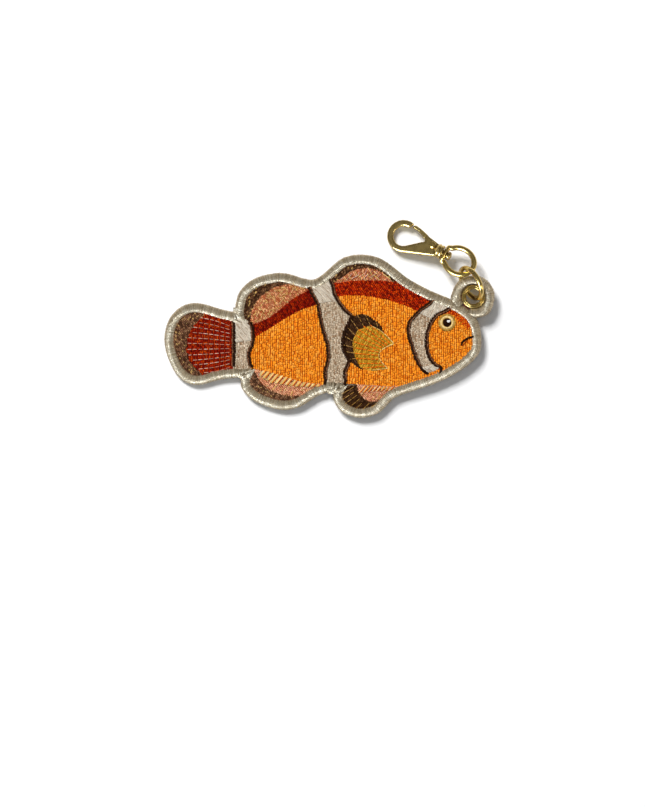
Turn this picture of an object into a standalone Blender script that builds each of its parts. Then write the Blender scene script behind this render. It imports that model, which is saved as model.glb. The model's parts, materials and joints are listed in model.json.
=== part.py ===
"""Embroidered clownfish key charm with brass hardware.

A flat fish of stitched cloth, the same on its front and its back, has a thick satin-stitched
border and a round tab that holds a brass eyelet. A jump ring goes through the eyelet and carries
a swivel bow, and a snap hook with a sprung gate turns on the bow's bar.

The charm lies on the floor with its tab held up a little by the ring. +X runs from the tail to
the nose, +Y to the back of the fish and +Z up. The origin is under the middle of the whole
object, at floor level. Lengths are in metres, and the outlines of the embroidery are lists of
(x, y) in millimetres in the charm's own plane.
"""

import math

import bmesh
import bpy
from mathutils import Matrix, Vector

MM = 0.001
GAP = 0.3 * MM

# ---------------------------------------------------------------- charm, in its own plane
BORDER_WIDTH = 3.3 * MM
BORDER_THICKNESS = 3.0 * MM
SECTION_POWER = 0.8  # under 1 squares the border's round section a little
CLOTH_THICKNESS = 1.2 * MM
PANEL_THICKNESS = 0.5 * MM
PANEL_LIFT = 0.2 * MM  # air between the cloth and each embroidered panel
CUT_WIDTH = 0.3 * MM  # the parting lines between neighbouring panels
CURVE_STEP = 3.7 * MM
NOTCH_TRIM = 1.1 * MM
EYE_RADIUS = 3.05 * MM
EYE_DOME = 0.3 * MM

# ---------------------------------------------------------------- eyelet and tab
EYELET = (58.8, 16.6)  # (x, y) of the eyelet in the charm's plane, in millimetres
TAB_RADIUS = 8.2 * MM
EYELET_HOLE_RADIUS = 2.85 * MM
EYELET_BARREL_RADIUS = 3.2 * MM
EYELET_FLANGE_RADIUS = 4.5 * MM
EYELET_PROUD = 0.25 * MM  # how far each flange stands above the border

# ---------------------------------------------------------------- how the charm lies
TAB_LIFT = 3.0 * MM
UPHILL = Vector((0.75, 0.66, 0.0)).normalized()
LOW_CORNER = (-55.5, -13.0)  # where the tail's lower corner meets the floor
PLAN_CENTRE = (3.55, 8.1)  # the middle of the whole object's plan, in the charm's millimetres

# ---------------------------------------------------------------- jump ring
RING_RADIUS = 6.3 * MM  # of the wire's centre line
RING_WIRE = 1.0 * MM
RING_HEADING = math.radians(-62.1)  # the ring plane's level direction, from +X
RING_LEAN = math.radians(24.0)
RING_CENTRE = (57.73, 21.59)
RING_PIVOT_DROP = 2.45 * MM  # the tab's middle lies this far below the ring's centre

# ---------------------------------------------------------------- swivel bow
BOW_WIRE = 1.05 * MM
BOW_HALF_LENGTH = 6.0 * MM
BOW_HALF_WIDTH = 5.0 * MM
BOW_SIDES = 8
BOW_STEPS = 24
BAR_STEPS = 6
BOW_IN_RING = 4.0 * MM  # from the ring's centre to the bow's wire
BOW_GRIP = (10.7, -3.1)  # where the ring holds the bow, along and across it, in millimetres
BAR_HALF_LENGTH = 3.3 * MM
BAR_HALF_THICKNESS = 0.9 * MM
BAR_HALF_HEIGHT = 2.2 * MM
HOOK_HEADING = math.radians(-27.6)  # from the hook to the bow, from +X
HOOK_SLOPE = math.radians(9.2)

# ---------------------------------------------------------------- snap hook
POST_RADIUS = 1.1 * MM
POST_HEAD_RADIUS = 1.75 * MM
POST_HEAD_LENGTH = 1.4 * MM
COLLAR_RADIUS = 2.75 * MM
COLLAR_START = 1.15 * MM
COLLAR_END = 3.2 * MM
HOOK_THICKNESS = 2.6 * MM
HOOK_EDGE = 0.75 * MM
LOOP_CENTRE = (17.6, -1.1)
LOOP_OUTER_RADIUS = 6.3
LOOP_INNER_RADIUS = 3.8
GATE_PIVOT = (5.75, 0.9)
GATE_THICKNESS = 2.2 * MM
TONGUE_THICKNESS = 0.9 * MM
SLOT_THICKNESS = 1.4 * MM
PIN_RADIUS = 0.5 * MM
PIN_HOLE_RADIUS = 0.8 * MM
PIN_HEAD_RADIUS = 1.3 * MM
PIN_HEAD_HEIGHT = 0.6 * MM
PIN_CLEARANCE = 0.15 * MM

# ---------------------------------------------------------------- fish outline
# Three open runs, anticlockwise, meet in the three sharp notches beside the tail and the fins.
TAIL_RUN = [
    (-32.8, 10.8), (-37.5, 11.8), (-42.5, 13.3), (-48.0, 14.3), (-53.4, 12.8), (-57.8, 8.3),
    (-59.8, 1.0), (-58.7, -6.0), (-54.2, -14.3), (-48.0, -17.3), (-38.0, -15.2), (-30.7, -14.4),
]
ANAL_RUN = [
    (-30.7, -14.4), (-30.2, -18.2), (-27.2, -22.0), (-22.0, -25.0), (-14.0, -26.9), (-7.5, -25.6),
    (-1.0, -21.6), (5.6, -19.3),
]
BODY_RUN = [
    (5.6, -19.3), (5.0, -22.2), (8.0, -27.2), (15.0, -29.9), (22.7, -28.0), (28.2, -22.6),
    (34.4, -20.1), (44.4, -16.7), (55.0, -11.1), (61.2, -4.8), (61.9, 1.0), (60.7, 7.0),
    (58.2, 10.7), (54.2, 13.6), (49.9, 15.8), (42.7, 18.8), (33.5, 23.8), (28.2, 28.0),
    (22.7, 31.5), (15.6, 32.8), (8.6, 31.4), (3.8, 27.6), (-2.3, 23.3), (-14.9, 25.8),
    (-25.7, 23.3), (-31.2, 18.0), (-32.8, 10.8),
]

# ---------------------------------------------------------------- parting lines of the embroidery
PARTINGS = {
    "tail_arc": [
        (-42.6, 12.0), (-45.2, 8.9), (-49.2, 4.4), (-51.2, -1.7), (-50.2, -7.8), (-46.0, -12.4),
        (-43.4, -15.0),
    ],
    "tail_root": [(-33.2, 9.5), (-33.2, -2.0), (-33.2, -13.0)],
    "peduncle": [
        (-31.4, 9.6), (-28.4, 7.9), (-26.2, 5.8), (-25.7, 3.0), (-25.9, -1.7), (-27.3, -5.0),
        (-27.0, -8.4), (-26.1, -10.9),
    ],
    "rear_stripe_low": [(-25.8, 0.4), (-18.2, 5.0), (-11.5, 9.2), (-6.5, 11.7), (-0.8, 13.4)],
    "rear_stripe_top": [(-26.2, 5.8), (-19.9, 8.4), (-14.9, 12.1), (-9.9, 16.2), (-3.8, 19.3)],
    "rear_pink": [
        (-26.5, 6.2), (-26.4, 9.0), (-25.2, 13.0), (-22.0, 17.0), (-16.5, 20.4), (-10.5, 21.6),
        (-7.6, 23.2),
    ],
    "middle_left": [
        (-5.4, 22.4), (-3.6, 19.0), (-0.8, 13.8), (0.2, 8.3), (1.4, 3.3), (3.1, -2.5), (3.1, -7.5),
        (2.0, -12.6), (2.4, -18.4),
    ],
    "middle_right_top": [(3.2, 24.2), (4.8, 21.4), (5.7, 17.3), (8.5, 12.9), (12.6, 8.9)],
    "middle_right_low": [(11.7, -7.6), (9.8, -11.7), (9.9, -16.9)],
    "anal_top": [
        (-30.2, -11.9), (-28.4, -11.2), (-25.6, -11.0), (-18.4, -12.6), (-9.2, -15.5), (0.6, -17.1),
        (5.0, -17.6),
    ],
    "anal_pink": [
        (-25.5, -11.0), (-22.4, -16.7), (-15.7, -20.6), (-8.2, -21.4), (-1.0, -18.9), (1.2, -17.2),
    ],
    "pelvic_top": [(5.6, -16.2), (18.0, -17.2), (31.6, -18.0)],
    "pelvic_pink": [
        (14.1, -16.9), (15.0, -20.8), (18.4, -23.4), (21.8, -23.5), (24.1, -22.2), (26.4, -19.9),
    ],
    "front_dorsal_pink": [
        (5.0, 21.6), (8.4, 23.8), (12.6, 26.4), (18.6, 27.5), (24.4, 25.6), (28.2, 22.2),
    ],
    "front_stripe_top": [(4.7, 21.6), (11.0, 22.5), (17.7, 22.8), (24.0, 22.6), (31.5, 21.8)],
    "front_stripe_low": [
        (6.1, 16.5), (11.0, 17.0), (17.7, 16.7), (26.9, 15.0), (32.7, 12.9), (37.9, 10.9),
    ],
    "band_left": [
        (44.8, 16.4), (42.0, 13.9), (37.9, 10.9), (34.2, 7.0), (34.0, 2.5), (35.2, -1.7),
        (36.5, -5.9), (38.4, -10.0), (40.2, -12.4), (42.4, -12.5), (45.7, -11.0),
    ],
    "band_right": [
        (51.0, 12.9), (48.2, 11.1), (44.4, 9.2), (41.9, 5.0), (40.9, 0.0), (41.5, -5.0),
        (43.4, -8.6), (45.6, -10.2), (45.6, -14.6),
    ],
    "pectoral_edge": [
        (24.6, 2.5), (23.6, 5.2), (20.8, 7.9), (16.4, 10.0), (12.4, 9.2), (10.4, 5.0), (8.9, 0.0),
        (9.4, -4.2), (11.8, -8.3), (15.0, -10.9), (17.8, -11.5),
    ],
    "pectoral_fan": [
        (28.6, -1.3), (23.6, 3.4), (18.6, 5.4), (14.4, 3.7), (12.7, 0.0), (13.2, -5.6),
        (15.6, -10.6), (20.2, -11.9), (26.1, -10.9),
    ],
    "pectoral_notch": [(26.1, -10.9), (23.2, -7.7), (22.9, -4.2), (28.6, -1.3)],
}
EYE_CENTRE = (48.7, 6.7)

# ---------------------------------------------------------------- embroidered panels
# A point inside each panel, and its thread.
PANELS = {
    "tail_fin_edge": ((-54.5, 0.0), "brown"),
    "tail_fin_red": ((-42.0, 0.0), "red"),
    "peduncle_band": ((-30.0, -2.0), "pale"),
    "rear_dorsal_edge": ((-27.4, 13.5), "brown"),
    "rear_dorsal_pink": ((-17.0, 17.0), "pink"),
    "rear_stripe": ((-12.0, 12.0), "red"),
    "rear_body": ((-10.0, 0.0), "orange"),
    "anal_fin_pink": ((-15.0, -17.5), "pink"),
    "anal_fin_edge": ((-15.0, -22.0), "brown"),
    "middle_band": ((5.5, 0.0), "pale"),
    "front_dorsal_edge": ((14.0, 28.0), "brown"),
    "front_dorsal_pink": ((18.0, 25.0), "pink"),
    "front_stripe": ((20.0, 20.0), "red"),
    "front_body": ((30.0, -5.0), "orange"),
    "pectoral_fin_edge": ((10.8, 0.0), "brown"),
    "pectoral_fin": ((18.0, -3.0), "gold"),
    "pelvic_fin_edge": ((12.5, -22.0), "brown"),
    "pelvic_fin_pink": ((22.0, -20.0), "pink"),
    "head_band": ((38.0, 0.0), "pale"),
    "head": ((52.0, -2.0), "orange"),
}

# ---------------------------------------------------------------- finishes: colour, roughness, metallic
FINISHES = {
    "border": ((0.40, 0.36, 0.28), 0.55, 0.0),
    "pale": ((0.54, 0.45, 0.34), 0.75, 0.0),
    "orange": ((0.80, 0.25, 0.03), 0.55, 0.0),
    "red": ((0.36, 0.035, 0.008), 0.55, 0.0),
    "brown": ((0.075, 0.035, 0.018), 0.65, 0.0),
    "pink": ((0.58, 0.22, 0.14), 0.60, 0.0),
    "gold": ((0.42, 0.28, 0.05), 0.55, 0.0),
    "cream": ((0.66, 0.55, 0.30), 0.55, 0.0),
    "brass": ((0.40, 0.28, 0.09), 0.30, 1.0),
}


def finish(name):
    """The named finish as a Principled material, made once."""
    material = bpy.data.materials.get(name)
    if material:
        return material
    colour, roughness, metallic = FINISHES[name]
    material = bpy.data.materials.new(name)
    material.use_nodes = True
    shader = material.node_tree.nodes["Principled BSDF"]
    shader.inputs["Base Color"].default_value = (*colour, 1.0)
    shader.inputs["Roughness"].default_value = roughness
    shader.inputs["Metallic"].default_value = metallic
    return material


# ---------------------------------------------------------------- curves and outlines
def smooth_run(points, step):
    """A smooth open run through the points, in metres: centripetal Catmull-Rom, about a step apart."""
    knots = [Vector(p) * MM for p in points]
    knots = [2 * knots[0] - knots[1], *knots, 2 * knots[-1] - knots[-2]]
    run = []
    for before, start, end, after in zip(knots, knots[1:], knots[2:], knots[3:]):
        t1 = (start - before).length ** 0.5
        t2 = t1 + (end - start).length ** 0.5
        t3 = t2 + (after - end).length ** 0.5
        count = max(1, round((end - start).length / step))
        for i in range(count):
            t = t1 + (t2 - t1) * i / count
            a1 = before.lerp(start, t / t1)
            a2 = start.lerp(end, (t - t1) / (t2 - t1))
            a3 = end.lerp(after, (t - t2) / (t3 - t2))
            b1 = a1.lerp(a2, t / t2)
            b2 = a2.lerp(a3, (t - t1) / (t3 - t1))
            run.append(b1.lerp(b2, (t - t1) / (t2 - t1)))
    run.append(knots[-2])
    return run


def trimmed(run, length):
    """The run without the first and last stretch of that length."""
    for _ in range(2):
        left = length
        while (run[1] - run[0]).length < left:
            left -= (run[1] - run[0]).length
            run = run[1:]
        run = [run[0] + (run[1] - run[0]).normalized() * left, *run[1:]]
        run = run[::-1]
    return run


def fish_outline():
    """The fish's closed outline, anticlockwise, with each notch rounded by a short curve."""
    runs = [smooth_run(points, CURVE_STEP) for points in (TAIL_RUN, ANAL_RUN, BODY_RUN)]
    notches = [run[-1] for run in runs]
    runs = [trimmed(run, NOTCH_TRIM) for run in runs]
    outline = []
    for i, run in enumerate(runs):
        outline += run
        start, corner, end = run[-1], notches[i], runs[(i + 1) % len(runs)][0]
        for t in (0.25, 0.5, 0.75):
            outline.append(start.lerp(corner, t).lerp(corner.lerp(end, t), t))
    return outline


def inward_normals(outline):
    """Unit vectors at the corners of an anticlockwise outline, pointing into it."""
    normals = []
    for i, corner in enumerate(outline):
        ahead = (outline[(i + 1) % len(outline)] - corner).normalized()
        behind = (corner - outline[i - 1]).normalized()
        along = (ahead + behind).normalized()
        normals.append(Vector((-along.y, along.x)))
    return normals


def inset(outline, distance):
    """The outline moved inwards by a distance, or outwards by a negative one."""
    return [p + n * distance for p, n in zip(outline, inward_normals(outline))]


def arc(centre, radius, start, end, count):
    """Points on an arc between two angles in degrees."""
    angles = [math.radians(start + (end - start) * i / count) for i in range(count + 1)]
    return [Vector((centre[0] + radius * math.cos(a), centre[1] + radius * math.sin(a))) for a in angles]


# ---------------------------------------------------------------- solids
def new_object(name, mesh_data, finish_name, parent):
    """An object from finished mesh data, smooth-shaded with sharp edges kept."""
    bmesh.ops.recalc_face_normals(mesh_data, faces=mesh_data.faces)
    if mesh_data.calc_volume(signed=True) < 0:
        bmesh.ops.reverse_faces(mesh_data, faces=mesh_data.faces)
    mesh = bpy.data.meshes.new(name)
    mesh_data.to_mesh(mesh)
    mesh_data.free()
    mesh.materials.append(finish(finish_name))
    mesh.shade_smooth()
    mesh.set_sharp_from_angle(angle=math.radians(40))
    thing = bpy.data.objects.new(name, mesh)
    bpy.context.scene.collection.objects.link(thing)
    thing.parent = parent
    return thing


def empty(name, parent, placement):
    """A parent frame with a local placement."""
    frame = bpy.data.objects.new(name, None)
    bpy.context.scene.collection.objects.link(frame)
    frame.parent = parent
    frame.matrix_basis = placement
    return frame


def prism(name, outline, bottom, top, finish_name, parent=None):
    """A closed outline extruded from one height to another."""
    bm = bmesh.new()
    floor = bm.faces.new([bm.verts.new((p.x, p.y, bottom)) for p in outline])
    raised = bmesh.ops.extrude_face_region(bm, geom=[floor])
    moved = [g for g in raised["geom"] if isinstance(g, bmesh.types.BMVert)]
    bmesh.ops.translate(bm, vec=(0, 0, top - bottom), verts=moved)
    return new_object(name, bm, finish_name, parent)


def swept(name, rings, finish_name, parent):
    """A closed tube through rings of points, the last ring joined to the first."""
    bm = bmesh.new()
    loops = [[bm.verts.new(p) for p in ring] for ring in rings]
    for ring, following in zip(loops, loops[1:] + loops[:1]):
        for i in range(len(ring)):
            j = (i + 1) % len(ring)
            bm.faces.new((ring[i], ring[j], following[j], following[i]))
    return new_object(name, bm, finish_name, parent)


def turned(name, profile, axis, steps, finish_name, parent):
    """A profile of (radius, height) turned about local X or Z; zero radii close on the axis."""
    bm = bmesh.new()
    turn = Matrix.Rotation(math.radians(90), 3, "Y") if axis == "X" else Matrix.Identity(3)
    line = [bm.verts.new(turn @ Vector((r, 0, h))) for r, h in profile]
    pairs = list(zip(line, line[1:]))
    if profile[0][0] > 0:
        pairs.append((line[-1], line[0]))
    edges = [bm.edges.new(pair) for pair in pairs]
    bmesh.ops.spin(bm, geom=line + edges, cent=(0, 0, 0), axis=turn @ Vector((0, 0, 1)),
                   angle=math.tau, steps=steps, use_merge=True)
    bmesh.ops.remove_doubles(bm, verts=bm.verts, dist=0.001 * MM)
    return new_object(name, bm, finish_name, parent)


def cutter(name, source):
    """Turns an object into a hidden cutting tool."""
    source.name = name
    source.hide_render = True
    source.display_type = "WIRE"
    return source


def boolean(target, tool, operation="DIFFERENCE"):
    """Adds an exact Boolean with another object."""
    modifier = target.modifiers.new(f"{operation.lower()}_{tool.name}", "BOOLEAN")
    modifier.operation = operation
    modifier.solver = "EXACT"
    modifier.object = tool


def rounded_edges(target, width, segments):
    """Adds a Bevel on the sharp edges."""
    modifier = target.modifiers.new("rounded_edges", "BEVEL")
    modifier.width = width
    modifier.segments = segments
    modifier.limit_method = "ANGLE"
    modifier.angle_limit = math.radians(50)


# ---------------------------------------------------------------- charm
def border_section(width, thickness):
    """(inset, height) corners of the border's section: a flattened round with flat top and bottom."""
    corners = []
    widest = math.cos(math.radians(22.5))
    for degrees in (-157.5, -112.5, -67.5, -22.5, 22.5, 67.5, 112.5, 157.5):
        a = math.radians(degrees)
        across = math.copysign(abs(math.cos(a) / widest) ** SECTION_POWER, math.cos(a))
        up = math.copysign(abs(math.sin(a) / widest) ** SECTION_POWER, math.sin(a))
        corners.append((width / 2 * (1 + across), thickness / 2 * (1 + up)))
    return corners


def make_border(outline, charm):
    """The satin-stitched border: a rounded rope of stitches all round the fish."""
    normals = inward_normals(outline)
    section = border_section(BORDER_WIDTH, BORDER_THICKNESS)
    rings = []
    for point, normal in zip(outline, normals):
        places = [(point + normal * across, up) for across, up in section]
        rings.append([Vector((place.x, place.y, up)) for place, up in places])
    return swept("border", rings, "border", charm)


def make_tab(outline, charm):
    """The tab's border round the eyelet, cut where the head's border passes, and the cloth in it."""
    centre = empty("tab_centre", charm, Matrix.Translation((*(Vector(EYELET) * MM), 0)))
    section = border_section(BORDER_WIDTH, BORDER_THICKNESS)
    profile = [(TAB_RADIUS - across, up) for across, up in section]
    tab = turned("border_tab", profile, "Z", 30, "border", centre)
    head_room = prism("head_room", inset(outline, -GAP), -MM, BORDER_THICKNESS + MM, "border", charm)
    boolean(tab, cutter("head_room", head_room))
    low = (BORDER_THICKNESS - CLOTH_THICKNESS) / 2
    high = low + CLOTH_THICKNESS
    inner, outer = EYELET_BARREL_RADIUS + 0.2 * MM, EYELET_FLANGE_RADIUS + 0.1 * MM
    profile = [(inner, low), (outer, low), (outer, high), (inner, high)]
    turned("tab_cloth", profile, "Z", 20, "pale", centre)
    return centre


def make_eyelet(centre):
    """The brass eyelet's flanged barrel in front and its washer behind."""
    middle = BORDER_THICKNESS / 2
    crown = middle + EYELET_PROUD
    hole, barrel, rim = EYELET_HOLE_RADIUS, EYELET_BARREL_RADIUS, EYELET_FLANGE_RADIUS
    under = CLOTH_THICKNESS / 2 + 0.2 * MM
    front = [
        (hole, -under), (barrel, -under), (barrel, under), (rim - 0.15 * MM, under),
        (rim, under + 0.3 * MM), (rim - 0.25 * MM, crown - 0.3 * MM), (rim - 0.7 * MM, crown),
        (hole + 0.6 * MM, crown - 0.1 * MM), (hole + 0.1 * MM, crown - 0.5 * MM), (hole, crown - MM),
    ]
    back = [
        (hole, -under - 0.2 * MM), (hole + 0.1 * MM, 0.5 * MM - crown),
        (hole + 0.45 * MM, 0.1 * MM - crown),
        (rim - 0.75 * MM, -crown), (rim - 0.25 * MM, 0.3 * MM - crown), (rim, -under - 0.3 * MM),
        (rim - 0.15 * MM, -under), (barrel + 0.2 * MM, -under), (barrel + 0.1 * MM, -under - 0.2 * MM),
    ]
    for name, profile in (("eyelet_front", front), ("eyelet_back", back)):
        turned(name, [(r, middle + h) for r, h in profile], "Z", 20, "brass", centre)


def ribbon(name, run, bottom, top, parent):
    """A thin upright wall along a run: the tool that parts two panels."""
    sides = []
    for i, point in enumerate(run):
        along = (run[min(i + 1, len(run) - 1)] - run[max(i - 1, 0)]).normalized()
        aside = Vector((-along.y, along.x)) * CUT_WIDTH / 2
        sides.append((point - aside, point + aside))
    outline = [right for right, left in sides] + [left for right, left in reversed(sides)]
    return prism(name, outline, bottom, top, "border", parent)


def separate_islands(mesh):
    """The mesh's unconnected bodies, each as a list of face indices."""
    bm = bmesh.new()
    bm.from_mesh(mesh)
    bm.faces.ensure_lookup_table()
    seen = set()
    islands = []
    for first in bm.faces:
        if first.index in seen:
            continue
        stack, island = [first], []
        seen.add(first.index)
        while stack:
            face = stack.pop()
            island.append(face.index)
            for edge in face.edges:
                for other in edge.link_faces:
                    if other.index not in seen:
                        seen.add(other.index)
                        stack.append(other)
        islands.append(island)
    bm.free()
    return islands


def covers(mesh, island, top, point):
    """Whether the top faces of an island hold a point of the plane."""
    for index in island:
        face = mesh.polygons[index]
        corners = [mesh.vertices[v].co for v in face.vertices]
        if min(c.z for c in corners) < top - 0.01 * MM:
            continue
        inside = False
        for a, b in zip(corners, corners[1:] + corners[:1]):
            if (a.y > point.y) != (b.y > point.y):
                if point.x < a.x + (point.y - a.y) * (b.x - a.x) / (b.y - a.y):
                    inside = not inside
        if inside:
            return True
    return False


def make_panels(outline, charm):
    """Cuts one slab along the parting lines into the embroidered panels, in front and behind."""
    bottom = (BORDER_THICKNESS + CLOTH_THICKNESS) / 2 + PANEL_LIFT
    top = bottom + PANEL_THICKNESS
    slab = prism("slab", inset(outline, BORDER_WIDTH + GAP), bottom, top, "border", charm)
    cuts = bpy.data.collections.new("parting_cuts")
    bpy.context.scene.collection.children.link(cuts)
    tools = [ribbon(name, smooth_run(points, CURVE_STEP), bottom - MM, top + MM, charm)
             for name, points in PARTINGS.items()]
    eye_hole = arc(Vector(EYE_CENTRE) * MM, EYE_RADIUS + GAP, 0, 342, 19)
    tools.append(prism("eye_hole", eye_hole, bottom - MM, top + MM, "border", charm))
    for tool in tools:
        cutter(tool.name, tool)
        cuts.objects.link(tool)
    parting = slab.modifiers.new("parting", "BOOLEAN")
    parting.operand_type = "COLLECTION"
    parting.collection = cuts
    parting.solver = "EXACT"
    bpy.context.view_layer.update()
    cut_slab = bpy.data.meshes.new_from_object(slab.evaluated_get(bpy.context.evaluated_depsgraph_get()))
    islands = separate_islands(cut_slab)
    for name, (place, thread) in PANELS.items():
        seed = Vector(place) * MM
        island = next(i for i in islands if covers(cut_slab, i, top, seed))
        for side, flip in (("front", False), ("back", True)):
            make_panel(f"{name}_{side}", cut_slab, island, flip, thread, charm)
    for side, flip in (("front", False), ("back", True)):
        make_eye(f"eye_{side}", bottom, top, flip, charm)
    bpy.data.objects.remove(slab)
    for tool in tools:
        bpy.data.objects.remove(tool)


def make_panel(name, cut_slab, island, flip, thread, charm):
    """One panel from an island of the cut slab, turned over to the back if flip is set."""
    bm = bmesh.new()
    bm.from_mesh(cut_slab)
    bm.faces.ensure_lookup_table()
    keep = set(island)
    bmesh.ops.delete(bm, geom=[f for f in bm.faces if f.index not in keep], context="FACES")
    bmesh.ops.remove_doubles(bm, verts=bm.verts, dist=0.01 * MM)
    if flip:
        for vert in bm.verts:
            vert.co.z = BORDER_THICKNESS - vert.co.z
    new_object(name, bm, thread, charm)


def make_eye(name, bottom, top, flip, charm):
    """The padded round eye, in its hole in the head."""
    profile = [(0, bottom), (EYE_RADIUS, bottom), (EYE_RADIUS, top),
               (EYE_RADIUS * 0.6, top + EYE_DOME * 0.8), (0, top + EYE_DOME)]
    if flip:
        profile = [(r, BORDER_THICKNESS - h) for r, h in profile]
    eye = turned(name, profile, "Z", 16, "cream", charm)
    eye.location = (*(Vector(EYE_CENTRE) * MM), 0)


def charm_placement():
    """The charm's tilt about the corner of the tail, which lifts its tab on to the ring."""
    reach = (Vector(EYELET) - Vector(LOW_CORNER)).dot(UPHILL.xy) * MM
    angle = math.asin(TAB_LIFT / reach)
    hinge = Vector((UPHILL.y, -UPHILL.x, 0.0))
    corner = Matrix.Translation((*(Vector(LOW_CORNER) * MM), 0))
    tilt = corner @ Matrix.Rotation(angle, 4, hinge) @ corner.inverted()
    centred = Matrix.Translation((*(-Vector(PLAN_CENTRE) * MM), 0))
    return centred @ tilt


def settle(charm):
    """Lowers the charm until its lowest corner is on the floor."""
    bpy.context.view_layer.update()
    border = bpy.data.objects["border"]
    lowest = min((border.matrix_world @ v.co).z for v in border.data.vertices)
    charm.location.z -= lowest


def make_charm():
    """The whole stitched fish on its tilted frame."""
    charm = empty("charm_frame", None, charm_placement())
    outline = fish_outline()
    make_border(outline, charm)
    low = (BORDER_THICKNESS - CLOTH_THICKNESS) / 2
    prism("core_cloth", inset(outline, BORDER_WIDTH + GAP), low, low + CLOTH_THICKNESS, "pale", charm)
    make_eyelet(make_tab(outline, charm))
    make_panels(outline, charm)
    settle(charm)


# ---------------------------------------------------------------- jump ring and bow
def torus_rings(radius, wire, steps, sides, centre):
    """Rings of points round a torus in the local XY plane."""
    rings = []
    for i in range(steps):
        a = math.tau * i / steps
        out = Vector((math.cos(a), math.sin(a), 0))
        ring = []
        for k in range(sides):
            b = math.tau * k / sides
            spot = out * (radius + wire * math.cos(b)) + Vector((0, 0, wire * math.sin(b)))
            ring.append(centre + spot)
        rings.append(ring)
    return rings


def ring_placement():
    """The jump ring's frame: X level along the ring's plane, Y up the plane, origin on its hinge."""
    level = Vector((math.cos(RING_HEADING), math.sin(RING_HEADING), 0))
    aside = Vector((-level.y, level.x, 0))
    up = aside * math.sin(RING_LEAN) + Vector((0, 0, math.cos(RING_LEAN)))
    turn = Matrix((level, up, level.cross(up))).transposed().to_4x4()
    plan = (Vector(RING_CENTRE) - Vector(PLAN_CENTRE)) * MM
    height = RING_RADIUS * math.cos(RING_LEAN) + RING_WIRE
    centre = Vector((plan.x, plan.y, height))
    return Matrix.Translation(centre - up * RING_PIVOT_DROP) @ turn


def make_ring():
    """The jump ring, on its hinge through the tab."""
    hinge = empty("ring_hinge", None, ring_placement())
    centre = Vector((0, RING_PIVOT_DROP, 0))
    swept("jump_ring", torus_rings(RING_RADIUS, RING_WIRE, 32, 8, centre), "brass", hinge)
    return hinge


def bow_placement(ring):
    """The bow's frame in the world: X from the hook to the bow's far end, origin where the ring holds it."""
    grip = ring.matrix_basis @ Vector((-BOW_IN_RING, RING_PIVOT_DROP, 0))
    along = Vector((math.cos(HOOK_HEADING) * math.cos(HOOK_SLOPE),
                    math.sin(HOOK_HEADING) * math.cos(HOOK_SLOPE), math.sin(HOOK_SLOPE)))
    across = Vector((-math.sin(HOOK_HEADING), math.cos(HOOK_HEADING), 0))
    turn = Matrix((along, across, along.cross(across))).transposed().to_4x4()
    return Matrix.Translation(grip) @ turn


def bow_line():
    """The bow's closed centre line with its section's half sizes and direction at each point."""
    line = []
    for i in range(BAR_STEPS + 1):
        across = -BAR_HALF_LENGTH + 2 * BAR_HALF_LENGTH * i / BAR_STEPS
        middle = 1 - min(1.0, abs(across) / BAR_HALF_LENGTH) ** 3
        height = BOW_WIRE + (BAR_HALF_HEIGHT - BOW_WIRE) * middle
        line.append((Vector((0, across, 0)), BAR_HALF_THICKNESS, height))
    start = math.acos(-0.80)
    for i in range(BOW_STEPS + 1):
        a = start - 2 * start * i / BOW_STEPS
        place = Vector((BOW_HALF_LENGTH * (1 + math.cos(a)), BOW_HALF_WIDTH * math.sin(a), 0))
        line.append((place, BOW_WIRE, BOW_WIRE))
    return line


def make_bow(ring):
    """The swivel bow: a round wire bent to an oval, flattened to an eyed bar at the hook's side."""
    hinge = empty("bow_hinge", None, bow_placement(ring))
    shift = Vector((*BOW_GRIP, 0)) * MM
    line = bow_line()
    rings = []
    for i, (place, half, height) in enumerate(line):
        ahead = line[(i + 1) % len(line)][0]
        along = (ahead - line[i - 1][0]).normalized()
        aside = Vector((along.y, -along.x, 0))
        ring = []
        for k in range(BOW_SIDES):
            b = math.tau * (k + 0.5) / BOW_SIDES
            spot = aside * half * math.cos(b) + Vector((0, 0, height * math.sin(b)))
            ring.append(place - shift + spot)
        rings.append(ring)
    bow = swept("swivel_bow", rings, "brass", hinge)
    swivel = empty("hook_swivel", hinge, Matrix.Translation(-shift))
    bore = POST_RADIUS + GAP
    profile = [(0, -2 * MM), (bore, -2 * MM), (bore, 2 * MM), (0, 2 * MM)]
    hole = turned("bar_hole", profile, "X", 20, "brass", swivel)
    boolean(bow, cutter("bar_hole", hole))
    return swivel


# ---------------------------------------------------------------- snap hook
def hook_side(points):
    """Points given in millimetres along and across the hook, from the bar towards its tip."""
    return [Vector((-a, n)) * MM for a, n in points]


def hook_outline():
    """The hook's outline: collar end, straight lower side, round loop to the nose, then back inside it."""
    outer = arc(LOOP_CENTRE, LOOP_OUTER_RADIUS, -107, 107, 14)
    inner = arc(LOOP_CENTRE, LOOP_INNER_RADIUS, 101, -128, 13)
    nose = [(16.5, 3.5)]
    root = [(9.2, 0.9), (9.5, 3.45), (2.8, 2.2)]
    corners = [(2.8, -2.5), *outer, *nose, *inner, *root]
    return hook_side(corners)


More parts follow.
